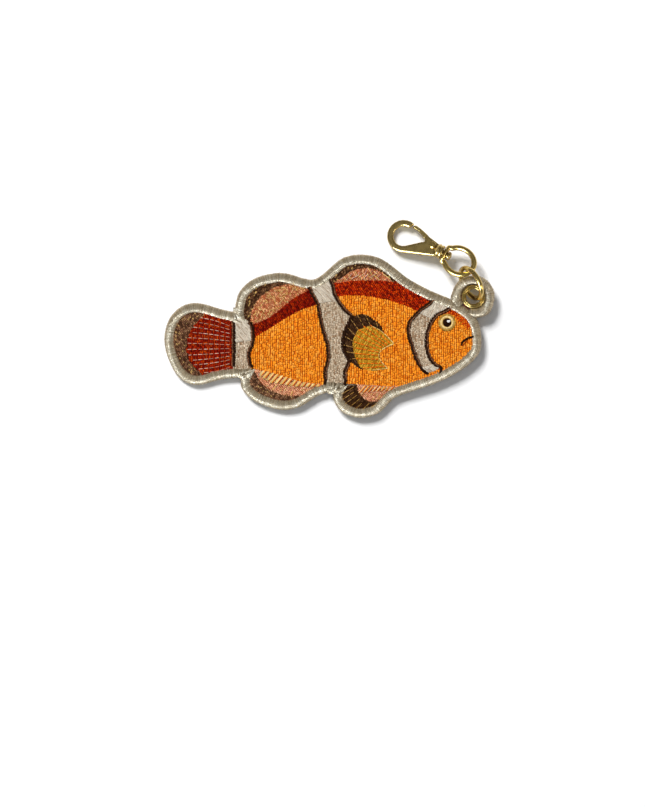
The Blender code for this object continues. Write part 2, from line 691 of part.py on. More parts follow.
def make_hook_body(swivel):
    """The cast hook: loop, flat body with a slot for the gate, and a turned collar at the swivel."""
    half = HOOK_THICKNESS / 2
    body = prism("hook_body", hook_outline(), -half, half, "brass", swivel)
    rounded_edges(body, HOOK_EDGE, 2)
    start, end, radius = -COLLAR_END, -COLLAR_START, COLLAR_RADIUS
    groove = radius - 0.35 * MM
    quarter = (end - start) / 4
    profile = [
        (0, start - 1.2 * MM), (radius * 0.6, start - 1.2 * MM), (radius, start),
        (radius, start + quarter), (groove, start + 1.2 * quarter), (groove, start + 2 * quarter),
        (radius, start + 2.2 * quarter), (radius - 0.1 * MM, end - 0.1 * MM),
        (radius - 0.3 * MM, end), (0, end),
    ]
    collar = cutter("collar", turned("collar", profile, "X", 20, "brass", swivel))
    boolean(body, collar, "UNION")
    socket = [(0, -2.8 * MM), (POST_RADIUS + GAP, -2.8 * MM), (POST_RADIUS + GAP, 0), (0, 0)]
    boolean(body, cutter("post_socket", turned("post_socket", socket, "X", 20, "brass", swivel)))
    slot = prism("gate_slot", hook_side([(3.9, -1.3), (10.2, -1.3), (10.2, 6.0), (3.9, 6.0)]),
                 -SLOT_THICKNESS / 2, SLOT_THICKNESS / 2, "brass", swivel)
    boolean(body, cutter("gate_slot", slot))
    ring = arc(hook_side([GATE_PIVOT])[0], PIN_HOLE_RADIUS, 0, 330, 11)
    pin_hole = prism("pin_hole", ring, -3 * MM, 3 * MM, "brass", swivel)
    boolean(body, cutter("pin_hole", pin_hole))


def make_gate(swivel):
    """The gate: a curved bar that closes on the nose, with a thin tongue on its pin in the slot."""
    pivot = hook_side([GATE_PIVOT])[0]
    hinge = empty("gate_hinge", swivel, Matrix.Translation((pivot.x, pivot.y, 0)))
    knuckle = arc(GATE_PIVOT, 1.6, 60, 285, 9)
    corners = [
        (9.6, 1.5), (10.2, 2.0), (12.9, 3.0), (16.15, 3.4), (15.45, 4.8), (12.6, 4.4),
        (10.0, 3.7), (8.4, 3.1),
    ]
    outline = [p - pivot for p in hook_side([*knuckle, *corners])]
    half = GATE_THICKNESS / 2
    gate = prism("gate", outline, -half, half, "brass", hinge)
    rounded_edges(gate, 0.4 * MM, 1)
    reach = [p - pivot for p in hook_side([(3.0, -1.5), (9.9, -1.5), (9.9, 6.0), (3.0, 6.0)])]
    half = TONGUE_THICKNESS / 2
    for name, low, high in (("over_tongue", half, 3 * MM), ("under_tongue", -3 * MM, -half)):
        boolean(gate, cutter(name, prism(name, reach, low, high, "brass", hinge)))
    ring = arc((0, 0), PIN_HOLE_RADIUS, 0, 330, 11)
    hole = prism("tongue_hole", ring, -3 * MM, 3 * MM, "brass", hinge)
    boolean(gate, cutter("tongue_hole", hole))


def make_pin(swivel):
    """The gate's pin, with a domed head on each side of the hook."""
    pivot = hook_side([GATE_PIVOT])[0]
    face = HOOK_THICKNESS / 2 + PIN_CLEARANCE
    head = [
        (PIN_RADIUS, face), (PIN_HEAD_RADIUS, face),
        (PIN_HEAD_RADIUS * 0.92, face + PIN_HEAD_HEIGHT * 0.5),
        (PIN_HEAD_RADIUS * 0.5, face + PIN_HEAD_HEIGHT * 0.92), (0, face + PIN_HEAD_HEIGHT),
    ]
    profile = [(r, -h) for r, h in reversed(head)] + head
    pin = turned("gate_pin", profile, "Z", 12, "brass", swivel)
    pin.location = (pivot.x, pivot.y, 0)


def make_post(swivel):
    """The swivel post: from the collar's socket through the bar to its peened head inside the bow."""
    face = BAR_HALF_THICKNESS + 0.25 * MM
    back = face + POST_HEAD_LENGTH
    profile = [(0, -2.5 * MM), (POST_RADIUS, -2.5 * MM), (POST_RADIUS, face), (POST_HEAD_RADIUS, face),
               (POST_HEAD_RADIUS, back - 0.5 * MM), (POST_HEAD_RADIUS * 0.7, back - 0.1 * MM), (0, back)]
    turned("swivel_post", profile, "X", 16, "brass", swivel)


def make_hardware():
    """Ring, bow and snap hook, each in the frame of the one before."""
    swivel = make_bow(make_ring())
    make_hook_body(swivel)
    make_gate(swivel)
    make_pin(swivel)
    make_post(swivel)


def main():
    """Clears the scene and makes the charm and its hardware."""
    for thing in list(bpy.data.objects):
        bpy.data.objects.remove(thing)
    make_charm()
    make_hardware()


main()
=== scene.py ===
"""Embroidered clownfish key charm: thread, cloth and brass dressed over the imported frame.

Lengths inside the charm's own plane are in millimetres: x runs from the tail to the nose, y to the
back of the fish and z from the back of the cloth to its front. Everything else is in metres.
"""

import json
import logging
import math
from dataclasses import dataclass, field
from enum import Enum

import bmesh
import bpy
import numpy as np
from mathutils import Matrix, Vector
from mathutils.geometry import tessellate_polygon


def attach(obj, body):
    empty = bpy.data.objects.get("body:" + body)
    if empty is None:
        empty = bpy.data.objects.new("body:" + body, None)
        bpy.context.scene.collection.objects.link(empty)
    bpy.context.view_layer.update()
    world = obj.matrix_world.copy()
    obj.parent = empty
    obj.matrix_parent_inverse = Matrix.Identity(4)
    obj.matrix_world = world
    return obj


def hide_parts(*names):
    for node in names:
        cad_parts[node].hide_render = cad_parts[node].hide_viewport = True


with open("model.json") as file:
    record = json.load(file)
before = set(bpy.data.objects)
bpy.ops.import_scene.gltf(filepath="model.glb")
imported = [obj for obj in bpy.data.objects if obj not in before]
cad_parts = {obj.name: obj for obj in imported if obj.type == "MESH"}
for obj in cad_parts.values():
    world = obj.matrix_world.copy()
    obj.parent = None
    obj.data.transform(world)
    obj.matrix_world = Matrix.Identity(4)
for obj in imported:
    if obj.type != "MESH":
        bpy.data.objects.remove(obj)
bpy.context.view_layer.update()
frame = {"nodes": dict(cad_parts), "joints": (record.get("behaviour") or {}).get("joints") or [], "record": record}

MM = 0.001
# Height of the upper edge of the CAD border's outer side, as a share of its thickness.
BORDER_SHOULDER = 0.747
log = logging.getLogger("charm")
Colour = tuple[float, float, float]
Place = tuple[float, float, float]
Point = tuple[float, float]
Loop = np.ndarray


def linked(name: str, data: bpy.types.ID) -> bpy.types.Object:
    """Puts a new object into the scene.

    Args:
        name: the object's name.
        data: its mesh, light or camera.

    Returns:
        The object.
    """
    thing = bpy.data.objects.new(name, data)
    bpy.context.scene.collection.objects.link(thing)
    return thing


# ------------------------------------------------------------------ shader arithmetic
class Signal:
    """A shader socket that can be used in arithmetic; every operation adds a Math node."""

    def __init__(self, recipe: "Recipe", socket: bpy.types.NodeSocket) -> None:
        """Wraps a socket of a recipe."""
        self.recipe = recipe
        self.socket = socket

    def _joined(self, operation: str, first: object, second: object) -> "Signal":
        """Adds a Math node.

        Args:
            operation: the Math node's operation.
            first: its first value, a signal or a number.
            second: its second value.

        Returns:
            The node's result.
        """
        node = self.recipe.node("ShaderNodeMath", {"operation": operation}, {0: first, 1: second})
        return Signal(self.recipe, node.outputs[0])

    def __add__(self, other: object) -> "Signal":
        """Sum."""
        return self._joined("ADD", self, other)

    def __radd__(self, other: object) -> "Signal":
        """Sum with a number on the left."""
        return self._joined("ADD", other, self)

    def __sub__(self, other: object) -> "Signal":
        """Difference."""
        return self._joined("SUBTRACT", self, other)

    def __rsub__(self, other: object) -> "Signal":
        """Difference from a number."""
        return self._joined("SUBTRACT", other, self)

    def __mul__(self, other: object) -> "Signal":
        """Product."""
        return self._joined("MULTIPLY", self, other)

    def __rmul__(self, other: object) -> "Signal":
        """Product with a number on the left."""
        return self._joined("MULTIPLY", other, self)

    def sine(self) -> "Signal":
        """Sine of an angle in radians."""
        return self._joined("SINE", self, 0.0)

    def clamped(self) -> "Signal":
        """The value held between 0 and 1."""
        return self._joined("MINIMUM", self._joined("MAXIMUM", self, 0.0), 1.0)


class Recipe:
    """A material being made: a Principled shader and what feeds it."""

    def __init__(self, name: str) -> None:
        """Starts a material with its shader wired to the output.

        Args:
            name: the material's name.
        """
        self.material = bpy.data.materials.new(name)
        self.material.use_nodes = True
        self.tree = self.material.node_tree
        self.tree.nodes.clear()
        self.shader = self.node("ShaderNodeBsdfPrincipled")
        self.node("ShaderNodeOutputMaterial", {}, {"Surface": self.shader.outputs[0]})

    def node(self, kind: str, settings: dict | None = None, inputs: dict | None = None) -> bpy.types.Node:
        """Adds a node.

        Args:
            kind: the node's type.
            settings: its properties, set before its sockets.
            inputs: values or links for its sockets, by name or number.

        Returns:
            The new node.
        """
        made = self.tree.nodes.new(kind)
        for key, value in (settings or {}).items():
            setattr(made, key, value)
        for key, value in (inputs or {}).items():
            self.feed(made.inputs[key], value)
        return made

    def feed(self, socket: bpy.types.NodeSocket, value: object) -> None:
        """Links a signal or a socket to a socket, or sets its value.

        Args:
            socket: the socket to feed.
            value: a signal, a socket, a number or a colour.
        """
        if isinstance(value, Signal):
            value = value.socket
        if isinstance(value, bpy.types.NodeSocket):
            self.tree.links.new(value, socket)
        elif socket.type == "RGBA":
            socket.default_value = (*value, 1.0)
        else:
            socket.default_value = value

    def signal(self, kind: str, settings: dict, inputs: dict, output: int | str = 0) -> Signal:
        """One output of a new node, ready for arithmetic.

        Args:
            kind: the node's type.
            settings: its properties.
            inputs: values or links for its sockets.
            output: which output.

        Returns:
            The output.
        """
        return Signal(self, self.node(kind, settings, inputs).outputs[output])

    def grey(self, value: Signal) -> bpy.types.NodeSocket:
        """A signal as a grey colour."""
        return self.node("ShaderNodeCombineColor", {}, {0: value, 1: value, 2: value}).outputs[0]

    def bumped(self, height: Signal, distance: float, strength: float) -> bpy.types.NodeSocket:
        """A surface normal raised by a signal.

        Args:
            height: the relief, from 0 to 1.
            distance: its full height in metres.
            strength: share of it that is used.

        Returns:
            The normal's socket.
        """
        bump = self.node("ShaderNodeBump", {}, {"Height": height, "Distance": distance, "Strength": strength})
        return bump.outputs[0]

    def noise(self, scale: float, detail: float = 2.0, stretch: Place = (1.0, 1.0, 1.0)) -> Signal:
        """Noise in the object's own space.

        Args:
            scale: features per metre.
            detail: octaves of finer noise.
            stretch: scale along each axis.

        Returns:
            The noise, about 0.5.
        """
        place = self.node("ShaderNodeTexCoord").outputs["Object"]
        spread = self.node("ShaderNodeMapping", {}, {"Vector": place, "Scale": stretch}).outputs[0]
        return self.signal("ShaderNodeTexNoise", {}, {"Vector": spread, "Scale": scale, "Detail": detail})

    def blended(self, share: object, first: object, second: object,
                kind: str = "MIX") -> bpy.types.NodeSocket:
        """Mixes two colours.

        Args:
            share: how much of the second colour, a signal or a number.
            first: a colour or a socket.
            second: a colour or a socket.
            kind: the blend type.

        Returns:
            The mixed colour's socket.
        """
        node = self.node("ShaderNodeMix", {"data_type": "RGBA", "blend_type": kind},
                         {0: share, 6: first, 7: second})
        return node.outputs[2]

    def dress(self, **sockets: object) -> bpy.types.Material:
        """Feeds the shader's sockets and hands over the material.

        Args:
            sockets: value or link by socket name, with _ for a space.

        Returns:
            The material.
        """
        for name, value in sockets.items():
            self.feed(self.shader.inputs[name.replace("_", " ")], value)
        return self.material


# ------------------------------------------------------------------ finishes
@dataclass(frozen=True)
class ThreadFinish:
    """Twisted embroidery thread; its colour comes from each stitch.

    Attributes:
        name: the material's name.
        roughness: of the filaments.
        specular: strength of the filaments' gloss.
        metallic: share of the gloss that takes the thread's own colour.
        twist: length of one turn of the plies, in millimetres.
        lean: turns that the plies make across the thread.
        mottle: how unevenly the light takes to it, from one patch to the next.
        patches: how many patches there are to the metre.
        relief: height of the plies, in metres.
        fibres: how many loose fibres there are to the metre.
        base: its brightness between the plies, where the painted shade of the twist lies.
        ply_shade: how much brighter it is on top of a ply: painted light of the twist.
        fuzz_shade: how much brighter it is on a loose fibre.
    """

    name: str = "embroidery_thread"
    roughness: float = 0.42
    specular: float = 0.02
    metallic: float = 0.0
    twist: float = 0.42
    lean: float = 0.8
    mottle: float = 0.0
    patches: float = 1100.0
    relief: float = 0.00003
    fibres: float = 5200.0
    base: float = 0.55
    ply_shade: float = 0.34
    fuzz_shade: float = 0.56

    def material(self) -> bpy.types.Material:
        """Makes the material.

        Returns:
            The thread material.
        """
        recipe = Recipe(self.name)
        tone = recipe.node("ShaderNodeVertexColor", {"layer_name": "tone"}).outputs["Color"]
        along = recipe.node("ShaderNodeUVMap", {"uv_map": "thread"}).outputs["UV"]
        parts = recipe.node("ShaderNodeSeparateXYZ", {}, {0: along})
        across, length = Signal(recipe, parts.outputs[0]), Signal(recipe, parts.outputs[1])
        plies = ((length * (1.0 / self.twist) + across * self.lean) * math.tau).sine() * 0.5 + 0.5
        fuzz = recipe.noise(self.fibres, 3.0)
        patches = recipe.noise(self.patches, 2.0) - 0.5
        # Painted light and shade of the twist: lighter on each ply, darker between them; times random patches of
        # tone.
        shade = (plies * self.ply_shade + fuzz * self.fuzz_shade + self.base) * (patches * self.mottle + 1.0)
        rough = fuzz * 0.25 - patches * (0.5 * self.mottle) + (self.roughness - 0.12)
        return recipe.dress(Base_Color=recipe.blended(1.0, tone, recipe.grey(shade), "MULTIPLY"),
                            Roughness=rough.clamped(), Metallic=self.metallic,
                            Normal=recipe.bumped(plies * 0.8 + fuzz * 0.4, self.relief, 0.7),
                            Specular_IOR_Level=self.specular)


@dataclass(frozen=True)
class WovenFinish:
    """Plain woven ground cloth.

    Attributes:
        name: the material's name.
        warp: linear colour of the threads.
        gap: linear colour between them, darker: painted shade of the weave.
        pitch: thread spacing in metres.
        relief: height of the weave, in metres.
    """

    name: str = "woven_cloth"
    warp: Colour = (0.46, 0.36, 0.25)
    gap: Colour = (0.16, 0.10, 0.06)
    pitch: float = 0.0004
    relief: float = 0.00006

    def material(self) -> bpy.types.Material:
        """Makes the material.

        Returns:
            The cloth material.
        """
        recipe = Recipe(self.name)
        place = recipe.node("ShaderNodeTexCoord").outputs["Object"]
        parts = recipe.node("ShaderNodeSeparateXYZ", {}, {0: place})
        turns = math.tau / self.pitch
        warp = (Signal(recipe, parts.outputs[0]) * turns).sine()
        weft = (Signal(recipe, parts.outputs[1]) * turns).sine()
        # Painted light and shade of the weave: lighter where threads cross over, darker in the gaps.
        raised = (warp * weft) * 0.5 + 0.5
        # The mix share: that painted shade of the weave plus random grain in the tone.
        worn = (raised * 0.7 + recipe.noise(1800.0) * 0.5).clamped()
        return recipe.dress(Base_Color=recipe.blended(worn, self.gap, self.warp),
                            Roughness=0.85, Normal=recipe.bumped(raised, self.relief, 0.6))


@dataclass(frozen=True)
class BrassFinish:
    """Polished antique brass with a darker patina in its hollows.

    Attributes:
        name: the material's name.
        bright: linear colour where it is polished.
        dull: linear colour of the patina.
        roughness: of the polished metal.
        scratch: strength of the fine scratches.
        depth: of the scratches, in metres.
        hollows: how strongly hollows hold the patina, and edges lose it.
        patches: how strongly the patina comes and goes.
        cover: how much patina there is on a plain face.
    """

    name: str
    bright: Colour = (0.64, 0.45, 0.14)
    dull: Colour = (0.15, 0.085, 0.022)
    roughness: float = 0.14
    scratch: float = 0.25
    depth: float = 0.00002
    hollows: float = 6.0
    patches: float = 1.6
    cover: float = 0.22

    def material(self) -> bpy.types.Material:
        """Makes the material.

        Returns:
            The brass material.
        """
        recipe = Recipe(self.name)
        patches = recipe.noise(420.0, 4.0)
        edges = recipe.signal("ShaderNodeNewGeometry", {}, {}, "Pointiness")
        patina = ((0.5 - edges) * self.hollows + (patches - 0.5) * self.patches + self.cover).clamped()
        scratches = recipe.noise(2600.0, 3.0, (1.0, 0.12, 1.0))
        return recipe.dress(Base_Color=recipe.blended(patina, self.bright, self.dull), Metallic=1.0,
                            Roughness=patina * 0.25 + scratches * 0.08 + self.roughness,
                            Normal=recipe.bumped(scratches, self.depth, self.scratch))


@dataclass(frozen=True)
class FloorFinish:
    """Matt white paper.

    Attributes:
        name: the material's name.
        white: its brightness.
        grain: how much the brightness varies.
    """

    name: str = "white_paper"
    white: float = 0.97
    grain: float = 0.02

    def material(self) -> bpy.types.Material:
        """Makes the material.

        Returns:
            The floor material.
        """
        recipe = Recipe(self.name)
        paper = recipe.noise(900.0) * self.grain + (self.white - self.grain / 2)
        return recipe.dress(Base_Color=recipe.grey(paper), Roughness=0.9)


# ------------------------------------------------------------------ threads
@dataclass(frozen=True)
class Yarn:
    """A thread as it is sewn.

    Attributes:
        shades: linear colours its stitches are picked from.
        weights: how often each shade comes up.
        ground: linear colour seen between the stitches, a darker copy of the thread: painted shade of the gaps.
        scatter: spread of brightness from stitch to stitch.
    """

    shades: tuple[Colour, ...]
    weights: tuple[float, ...]
    ground: Colour
    scatter: float = 0.12

    def picked(self, rng: np.random.Generator) -> np.ndarray:
        """One stitch's own colour.

        Args:
            rng: the source of variation.

        Returns:
            The linear colour.
        """
        weights = np.array(self.weights, float)
        shade = self.shades[rng.choice(len(self.shades), p=weights / weights.sum())]
        return np.array(shade) * (1 + self.scatter * rng.normal())


class Thread(Enum):
    """The threads on the charm."""

    # The third colour of each thread is its ground: a darker copy of it, painted shade between the stitches.
    SILVER = Yarn(((0.44, 0.35, 0.225), (0.54, 0.45, 0.31), (0.36, 0.275, 0.165)), (6, 3, 2),
                  (0.16, 0.115, 0.065), 0.08)
    ORANGE = Yarn(((1.0, 0.31, 0.018), (1.0, 0.37, 0.040), (0.86, 0.22, 0.010)), (8, 3, 3),
                  (0.40, 0.060, 0.002), 0.07)
    RED = Yarn(((0.48, 0.024, 0.001), (0.64, 0.055, 0.002), (0.22, 0.006, 0.001)), (5, 3, 3),
               (0.05, 0.002, 0.001), 0.14)
    CRIMSON = Yarn(((0.28, 0.010, 0.001), (0.42, 0.026, 0.001), (0.14, 0.003, 0.001)), (5, 3, 3),
                   (0.04, 0.002, 0.001), 0.12)
    SCARLET = Yarn(((0.62, 0.055, 0.002), (0.72, 0.085, 0.004), (0.42, 0.03, 0.001)), (5, 3, 2),
                   (0.12, 0.006, 0.001), 0.12)
    RUST = Yarn(((0.36, 0.016, 0.001), (0.52, 0.050, 0.002), (0.22, 0.005, 0.001)), (5, 3, 3),
                (0.05, 0.002, 0.001), 0.12)
    BROWN = Yarn(((0.22, 0.10, 0.050), (0.095, 0.040, 0.018), (0.33, 0.17, 0.085), (0.50, 0.30, 0.11)),
                 (6, 5, 3, 1.2), (0.026, 0.010, 0.005), 0.15)
    UMBER = Yarn(((0.13, 0.056, 0.024), (0.055, 0.021, 0.008), (0.22, 0.11, 0.05), (0.52, 0.31, 0.10)),
                 (6, 5, 3, 1.3), (0.018, 0.007, 0.003), 0.15)
    DARK = Yarn(((0.060, 0.025, 0.009), (0.035, 0.013, 0.004), (0.11, 0.052, 0.022)), (5, 4, 1.5),
                (0.012, 0.004, 0.002), 0.2)
    LINE = Yarn(((0.030, 0.011, 0.004), (0.018, 0.006, 0.002)), (3, 2), (0.010, 0.004, 0.002), 0.15)
    LINE_EDGE = Yarn(((0.26, 0.115, 0.058), (0.13, 0.055, 0.026)), (3, 2), (0.03, 0.012, 0.006), 0.2)
    PINK = Yarn(((0.70, 0.235, 0.105), (0.50, 0.135, 0.050), (0.88, 0.42, 0.20)), (5, 3, 2.4),
                (0.24, 0.05, 0.015), 0.18)
    ROSE = Yarn(((0.80, 0.35, 0.19), (0.66, 0.25, 0.12), (0.90, 0.48, 0.28)), (5, 3, 2),
                (0.28, 0.07, 0.02), 0.08)
    GOLD = Yarn(((0.60, 0.30, 0.020), (0.72, 0.41, 0.045), (0.40, 0.17, 0.009)), (5, 3, 2.5),
                (0.18, 0.08, 0.008), 0.08)
    CREAM = Yarn(((0.80, 0.56, 0.21), (0.90, 0.70, 0.34)), (3, 2), (0.4, 0.25, 0.08), 0.08)
    STRAW = Yarn(((0.84, 0.53, 0.15), (0.96, 0.68, 0.26)), (3, 2), (0.3, 0.16, 0.04), 0.10)
    WHEAT = Yarn(((0.76, 0.48, 0.15), (0.88, 0.62, 0.26)), (3, 2), (0.3, 0.16, 0.04), 0.10)
    OLD_GOLD = Yarn(((0.40, 0.21, 0.03), (0.52, 0.30, 0.06)), (3, 2), (0.2, 0.1, 0.02), 0.10)
    TAN = Yarn(((0.48, 0.25, 0.06), (0.58, 0.33, 0.10)), (3, 2), (0.1, 0.05, 0.02), 0.12)
    CORAL = Yarn(((0.95, 0.20, 0.008), (0.88, 0.15, 0.005)), (3, 2), (0.3, 0.05, 0.004), 0.08)
    BLUSH = Yarn(((0.74, 0.43, 0.32), (0.56, 0.27, 0.19), (0.88, 0.60, 0.48)), (4, 3, 2),
                 (0.3, 0.1, 0.06), 0.12)
    LINEN = Yarn(((0.62, 0.48, 0.335), (0.72, 0.59, 0.44), (0.42, 0.27, 0.16)), (8, 3, 1.8),
                 (0.24, 0.15, 0.08), 0.08)
    PEARL = Yarn(((0.66, 0.57, 0.45), (0.74, 0.66, 0.54), (0.48, 0.36, 0.26)), (6, 2, 1.6),
                 (0.30, 0.20, 0.13), 0.06)
    WHITE = Yarn(((0.98, 0.97, 0.94), (0.80, 0.78, 0.74)), (3, 2), (0.4, 0.38, 0.34), 0.03)


@dataclass(frozen=True)
class Fill:
    """How a panel is filled with rows of stitches; lengths in millimetres.

    Attributes:
        thread: the thread used.
        angle: direction of the stitches in degrees.
        pitch: distance between rows.
        length: of a stitch, or 0 for satin, sewn from edge to edge.
        width: of the thread as it lies.
        height: of the thread above the cloth.
        scatter: how unevenly the needle holes are spaced, as a share of the length.
        reach: how far a row runs past the panel's edge.
        wander: random turn of each stitch in degrees.
        dome: how far the middle of a stitch stands up.
    """

    thread: Thread
    angle: float = 90.0
    pitch: float = 0.6
    length: float = 3.3
    width: float = 0.62
    height: float = 0.2
    scatter: float = 0.16
    reach: float = 0.34
    wander: float = 0.0
    dome: float = 0.03


# ------------------------------------------------------------------ the charm's plane
@dataclass(frozen=True)
class CharmPlane:
    """The charm's own plane in the row frame.

    Attributes:
        turn: rows are the plane's x, y and z directions.
        anchor: a point of the charm's back in metres.
        local: the same point in the plane, in millimetres.
    """

    turn: np.ndarray
    anchor: np.ndarray
    local: np.ndarray

    @classmethod
    def found(cls, local: tuple[float, float, float] = (-10.0, 0.0, 0.2)) -> "CharmPlane":
        """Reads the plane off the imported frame.

        Args:
            local: where the record's back face has its point, in the plane.

        Returns:
            The plane.
        """
        back = next(m for m in frame["record"]["mounts"] if m["name"] == "back_face")
        up = -Vector(back["axis"]).normalized()
        turn = Vector((0, 0, 1)).rotation_difference(up).to_matrix().transposed()
        return cls(np.array(turn), np.array(back["pos_m"]), np.array(local))

    def flat(self, points: np.ndarray) -> np.ndarray:
        """Row-frame points in metres as plane points in millimetres."""
        return (points - self.anchor) @ self.turn.T / MM + self.local

    def placed(self, points: np.ndarray) -> np.ndarray:
        """Plane points in millimetres as row-frame points in metres."""
        return (points - self.local) * MM @ self.turn + self.anchor


def inside(points: np.ndarray, loop: Loop) -> np.ndarray:
    """Whether each (x, y) point lies in a loop.

    Args:
        points: the points, in an array of any shape whose last axis is x and y.
        loop: the closed edge.

    Returns:
        One truth value for each point.
    """
    x, y = points[..., 0, None], points[..., 1, None]
    ax, ay = loop[:, 0], loop[:, 1]
    bx, by = np.roll(ax, -1), np.roll(ay, -1)
    spans = (ay > y) != (by > y)
    with np.errstate(divide="ignore", invalid="ignore"):
        left = x < ax + (y - ay) * (bx - ax) / (by - ay)
    return (np.count_nonzero(spans & left, axis=-1) % 2).astype(bool)


def inward(loop: Loop) -> np.ndarray:
    """Unit directions into an anticlockwise loop at its points.

    Args:
        loop: the closed edge.

    Returns:
        One direction for each point.
    """
    along = np.roll(loop, -1, axis=0) - np.roll(loop, 1, axis=0)
    along /= np.linalg.norm(along, axis=1)[:, None]
    return np.stack([-along[:, 1], along[:, 0]], axis=1)


def circle(centre: Point, radius: float | np.ndarray, turns: np.ndarray) -> Loop:
    """Points round a centre.

    Args:
        centre: the middle.
        radius: one radius, or one for each point.
        turns: each point's angle in radians.

    Returns:
        The points.
    """
    return np.array(centre) + np.asarray(radius)[..., None] * np.stack([np.cos(turns), np.sin(turns)], axis=1)


def raised(flat: np.ndarray, up: np.ndarray) -> np.ndarray:
    """Adds heights to (x, y) points.

    Args:
        flat: the points; the last axis is x and y.
        up: a height for each, or values that spread to that shape.

    Returns:
        Points of x, y and z.
    """
    return np.concatenate([flat, np.broadcast_to(up, flat.shape[:-1])[..., None]], axis=-1)


def paired(first: np.ndarray, second: np.ndarray) -> np.ndarray:
    """Two arrays spread to one shape, as rows of two values."""
    return np.stack(np.broadcast_arrays(first, second), axis=-1).reshape(-1, 2)


def cad_mesh(node: str) -> tuple[np.ndarray, np.ndarray]:
    """A CAD node's corners in metres and its triangles.

    Args:
        node: the node's name.

    Returns:
        Merged corners and corner numbers of each triangle.
    """
    thing = frame["nodes"][node]
    mesh = thing.data
    mesh.calc_loop_triangles()
    corners = np.array([thing.matrix_world @ v.co for v in mesh.vertices])
    triangles = np.array([t.vertices for t in mesh.loop_triangles])
    merged, index = np.unique(np.round(corners, 7), axis=0, return_inverse=True)
    return merged, index.reshape(-1)[triangles]


def rims(plane: CharmPlane, node: str, level: float) -> list[Loop]:
    """The closed edges of a CAD node at one height over the charm's back.

    Args:
        plane: the charm's plane.
        node: the node's name.
        level: the height in millimetres.

    Returns:
        Loops of (x, y), the one with the largest area first.
    """
    corners, triangles = cad_mesh(node)
    corners = plane.flat(corners)
    at_level = np.abs(corners[:, 2] - level) < 0.03
    uses: dict[tuple[int, int], int] = {}
    for triangle in triangles:
        full = int(at_level[triangle].all())
        for a, b in zip(triangle, np.roll(triangle, -1)):
            if at_level[a] and at_level[b]:
                edge = (min(a, b), max(a, b))
                uses[edge] = uses.get(edge, 0) + full
    beside: dict[int, list[int]] = {}
    for (a, b), full in uses.items():
        if full < 2:
            beside.setdefault(a, []).append(b)
            beside.setdefault(b, []).append(a)
    loops = []
    while beside:
        start = min(beside)
        path = [start]
        while True:
            choices = [c for c in beside.get(path[-1], []) if c in beside and c not in path[-2:]]
            choices = [c for c in choices if c not in path[1:]]
            if not choices or choices[0] == start:
                break
            path.append(choices[0])
        for corner in path:
            beside.pop(corner, None)
        if len(path) > 2:
            loops.append(corners[path, :2])
    return sorted(loops, key=lambda loop: -abs(area(loop)))


def area(loop: Loop) -> float:
    """Signed area of a loop, positive if it is anticlockwise."""
    x, y = loop[:, 0], loop[:, 1]
    return float(np.sum(x * np.roll(y, -1) - np.roll(x, -1) * y) / 2)


def resampled(line: Loop, step: float, closed: bool = False) -> Loop:
    """A smooth line through the points, evenly spaced.

    Args:
        line: the points.
        step: about how far apart the new points are.
        closed: whether the last point joins the first.

    Returns:
        The new points.
    """
    ends = [line[-1]], [line[0], line[1]]
    if not closed:
        ends = [2 * line[0] - line[1]], [2 * line[-1] - line[-2]]
    knots = np.concatenate([ends[0], line, ends[1]])
    dense = []
    for before, start, end, after in zip(knots, knots[1:], knots[2:], knots[3:]):
        t1 = max(np.linalg.norm(start - before), 1e-6) ** 0.5
        t2 = t1 + max(np.linalg.norm(end - start), 1e-6) ** 0.5
        t3 = t2 + max(np.linalg.norm(after - end), 1e-6) ** 0.5
        for t in np.linspace(t1, t2, 12, endpoint=False):
            a1 = before + (start - before) * (t / t1)
            a2 = start + (end - start) * ((t - t1) / (t2 - t1))
            a3 = end + (after - end) * ((t - t2) / (t3 - t2))
            b1 = a1 + (a2 - a1) * (t / t2)
            b2 = a2 + (a3 - a2) * ((t - t1) / (t3 - t1))
            dense.append(b1 + (b2 - b1) * ((t - t1) / (t2 - t1)))
    dense.append(line[0] if closed else line[-1])
    dense = np.array(dense)
    run = np.concatenate([[0.0], np.cumsum(np.linalg.norm(np.diff(dense, axis=0), axis=1))])
    count = max(2, round(run[-1] / step))
    spots = np.linspace(0, run[-1], count + 1)
    if closed:
        spots = spots[:-1]
    return np.stack([np.interp(spots, run, dense[:, k]) for k in range(2)], axis=1)


def rounded_panel(loop: Loop, step: float = 0.8, sharp: float = 38.0) -> Loop:
    """A panel's edge with its curves made smooth and its corners kept.

    Args:
        loop: the CAD edge.
        step: point spacing of the new edge.
        sharp: turn in degrees from which a point is a corner.

    Returns:
        The new edge.
    """
    ahead = np.roll(loop, -1, axis=0) - loop
    behind = loop - np.roll(loop, 1, axis=0)
    turn = np.degrees(np.abs(np.angle(
        (ahead[:, 0] + 1j * ahead[:, 1]) * np.conj(behind[:, 0] + 1j * behind[:, 1]))))
    corners = np.flatnonzero(turn > sharp)
    if len(corners) < 2:
        return resampled(loop, step, closed=True)
    pieces = []
    for first, last in zip(corners, np.roll(corners, -1)):
        span = np.arange(first, last + 1 if last > first else last + 1 + len(loop)) % len(loop)
        pieces.append(resampled(loop[span], step)[:-1])
    return np.concatenate(pieces)


def clipped(loop: Loop, point: Point, keep: Point) -> Loop:
    """The part of a loop on one side of a straight line.

    Args:
        loop: the closed edge.
        point: a point on the line.
        keep: a direction that points to the side to keep.

    Returns:
        The clipped loop.
    """
    side = (loop - np.array(point)) @ np.array(keep)
    out = []
    for i in range(len(loop)):
        j = (i + 1) % len(loop)
        if side[i] >= 0:
            out.append(loop[i])
        if (side[i] >= 0) != (side[j] >= 0):
            out.append(loop[i] + (loop[j] - loop[i]) * side[i] / (side[i] - side[j]))
    return np.array(out)


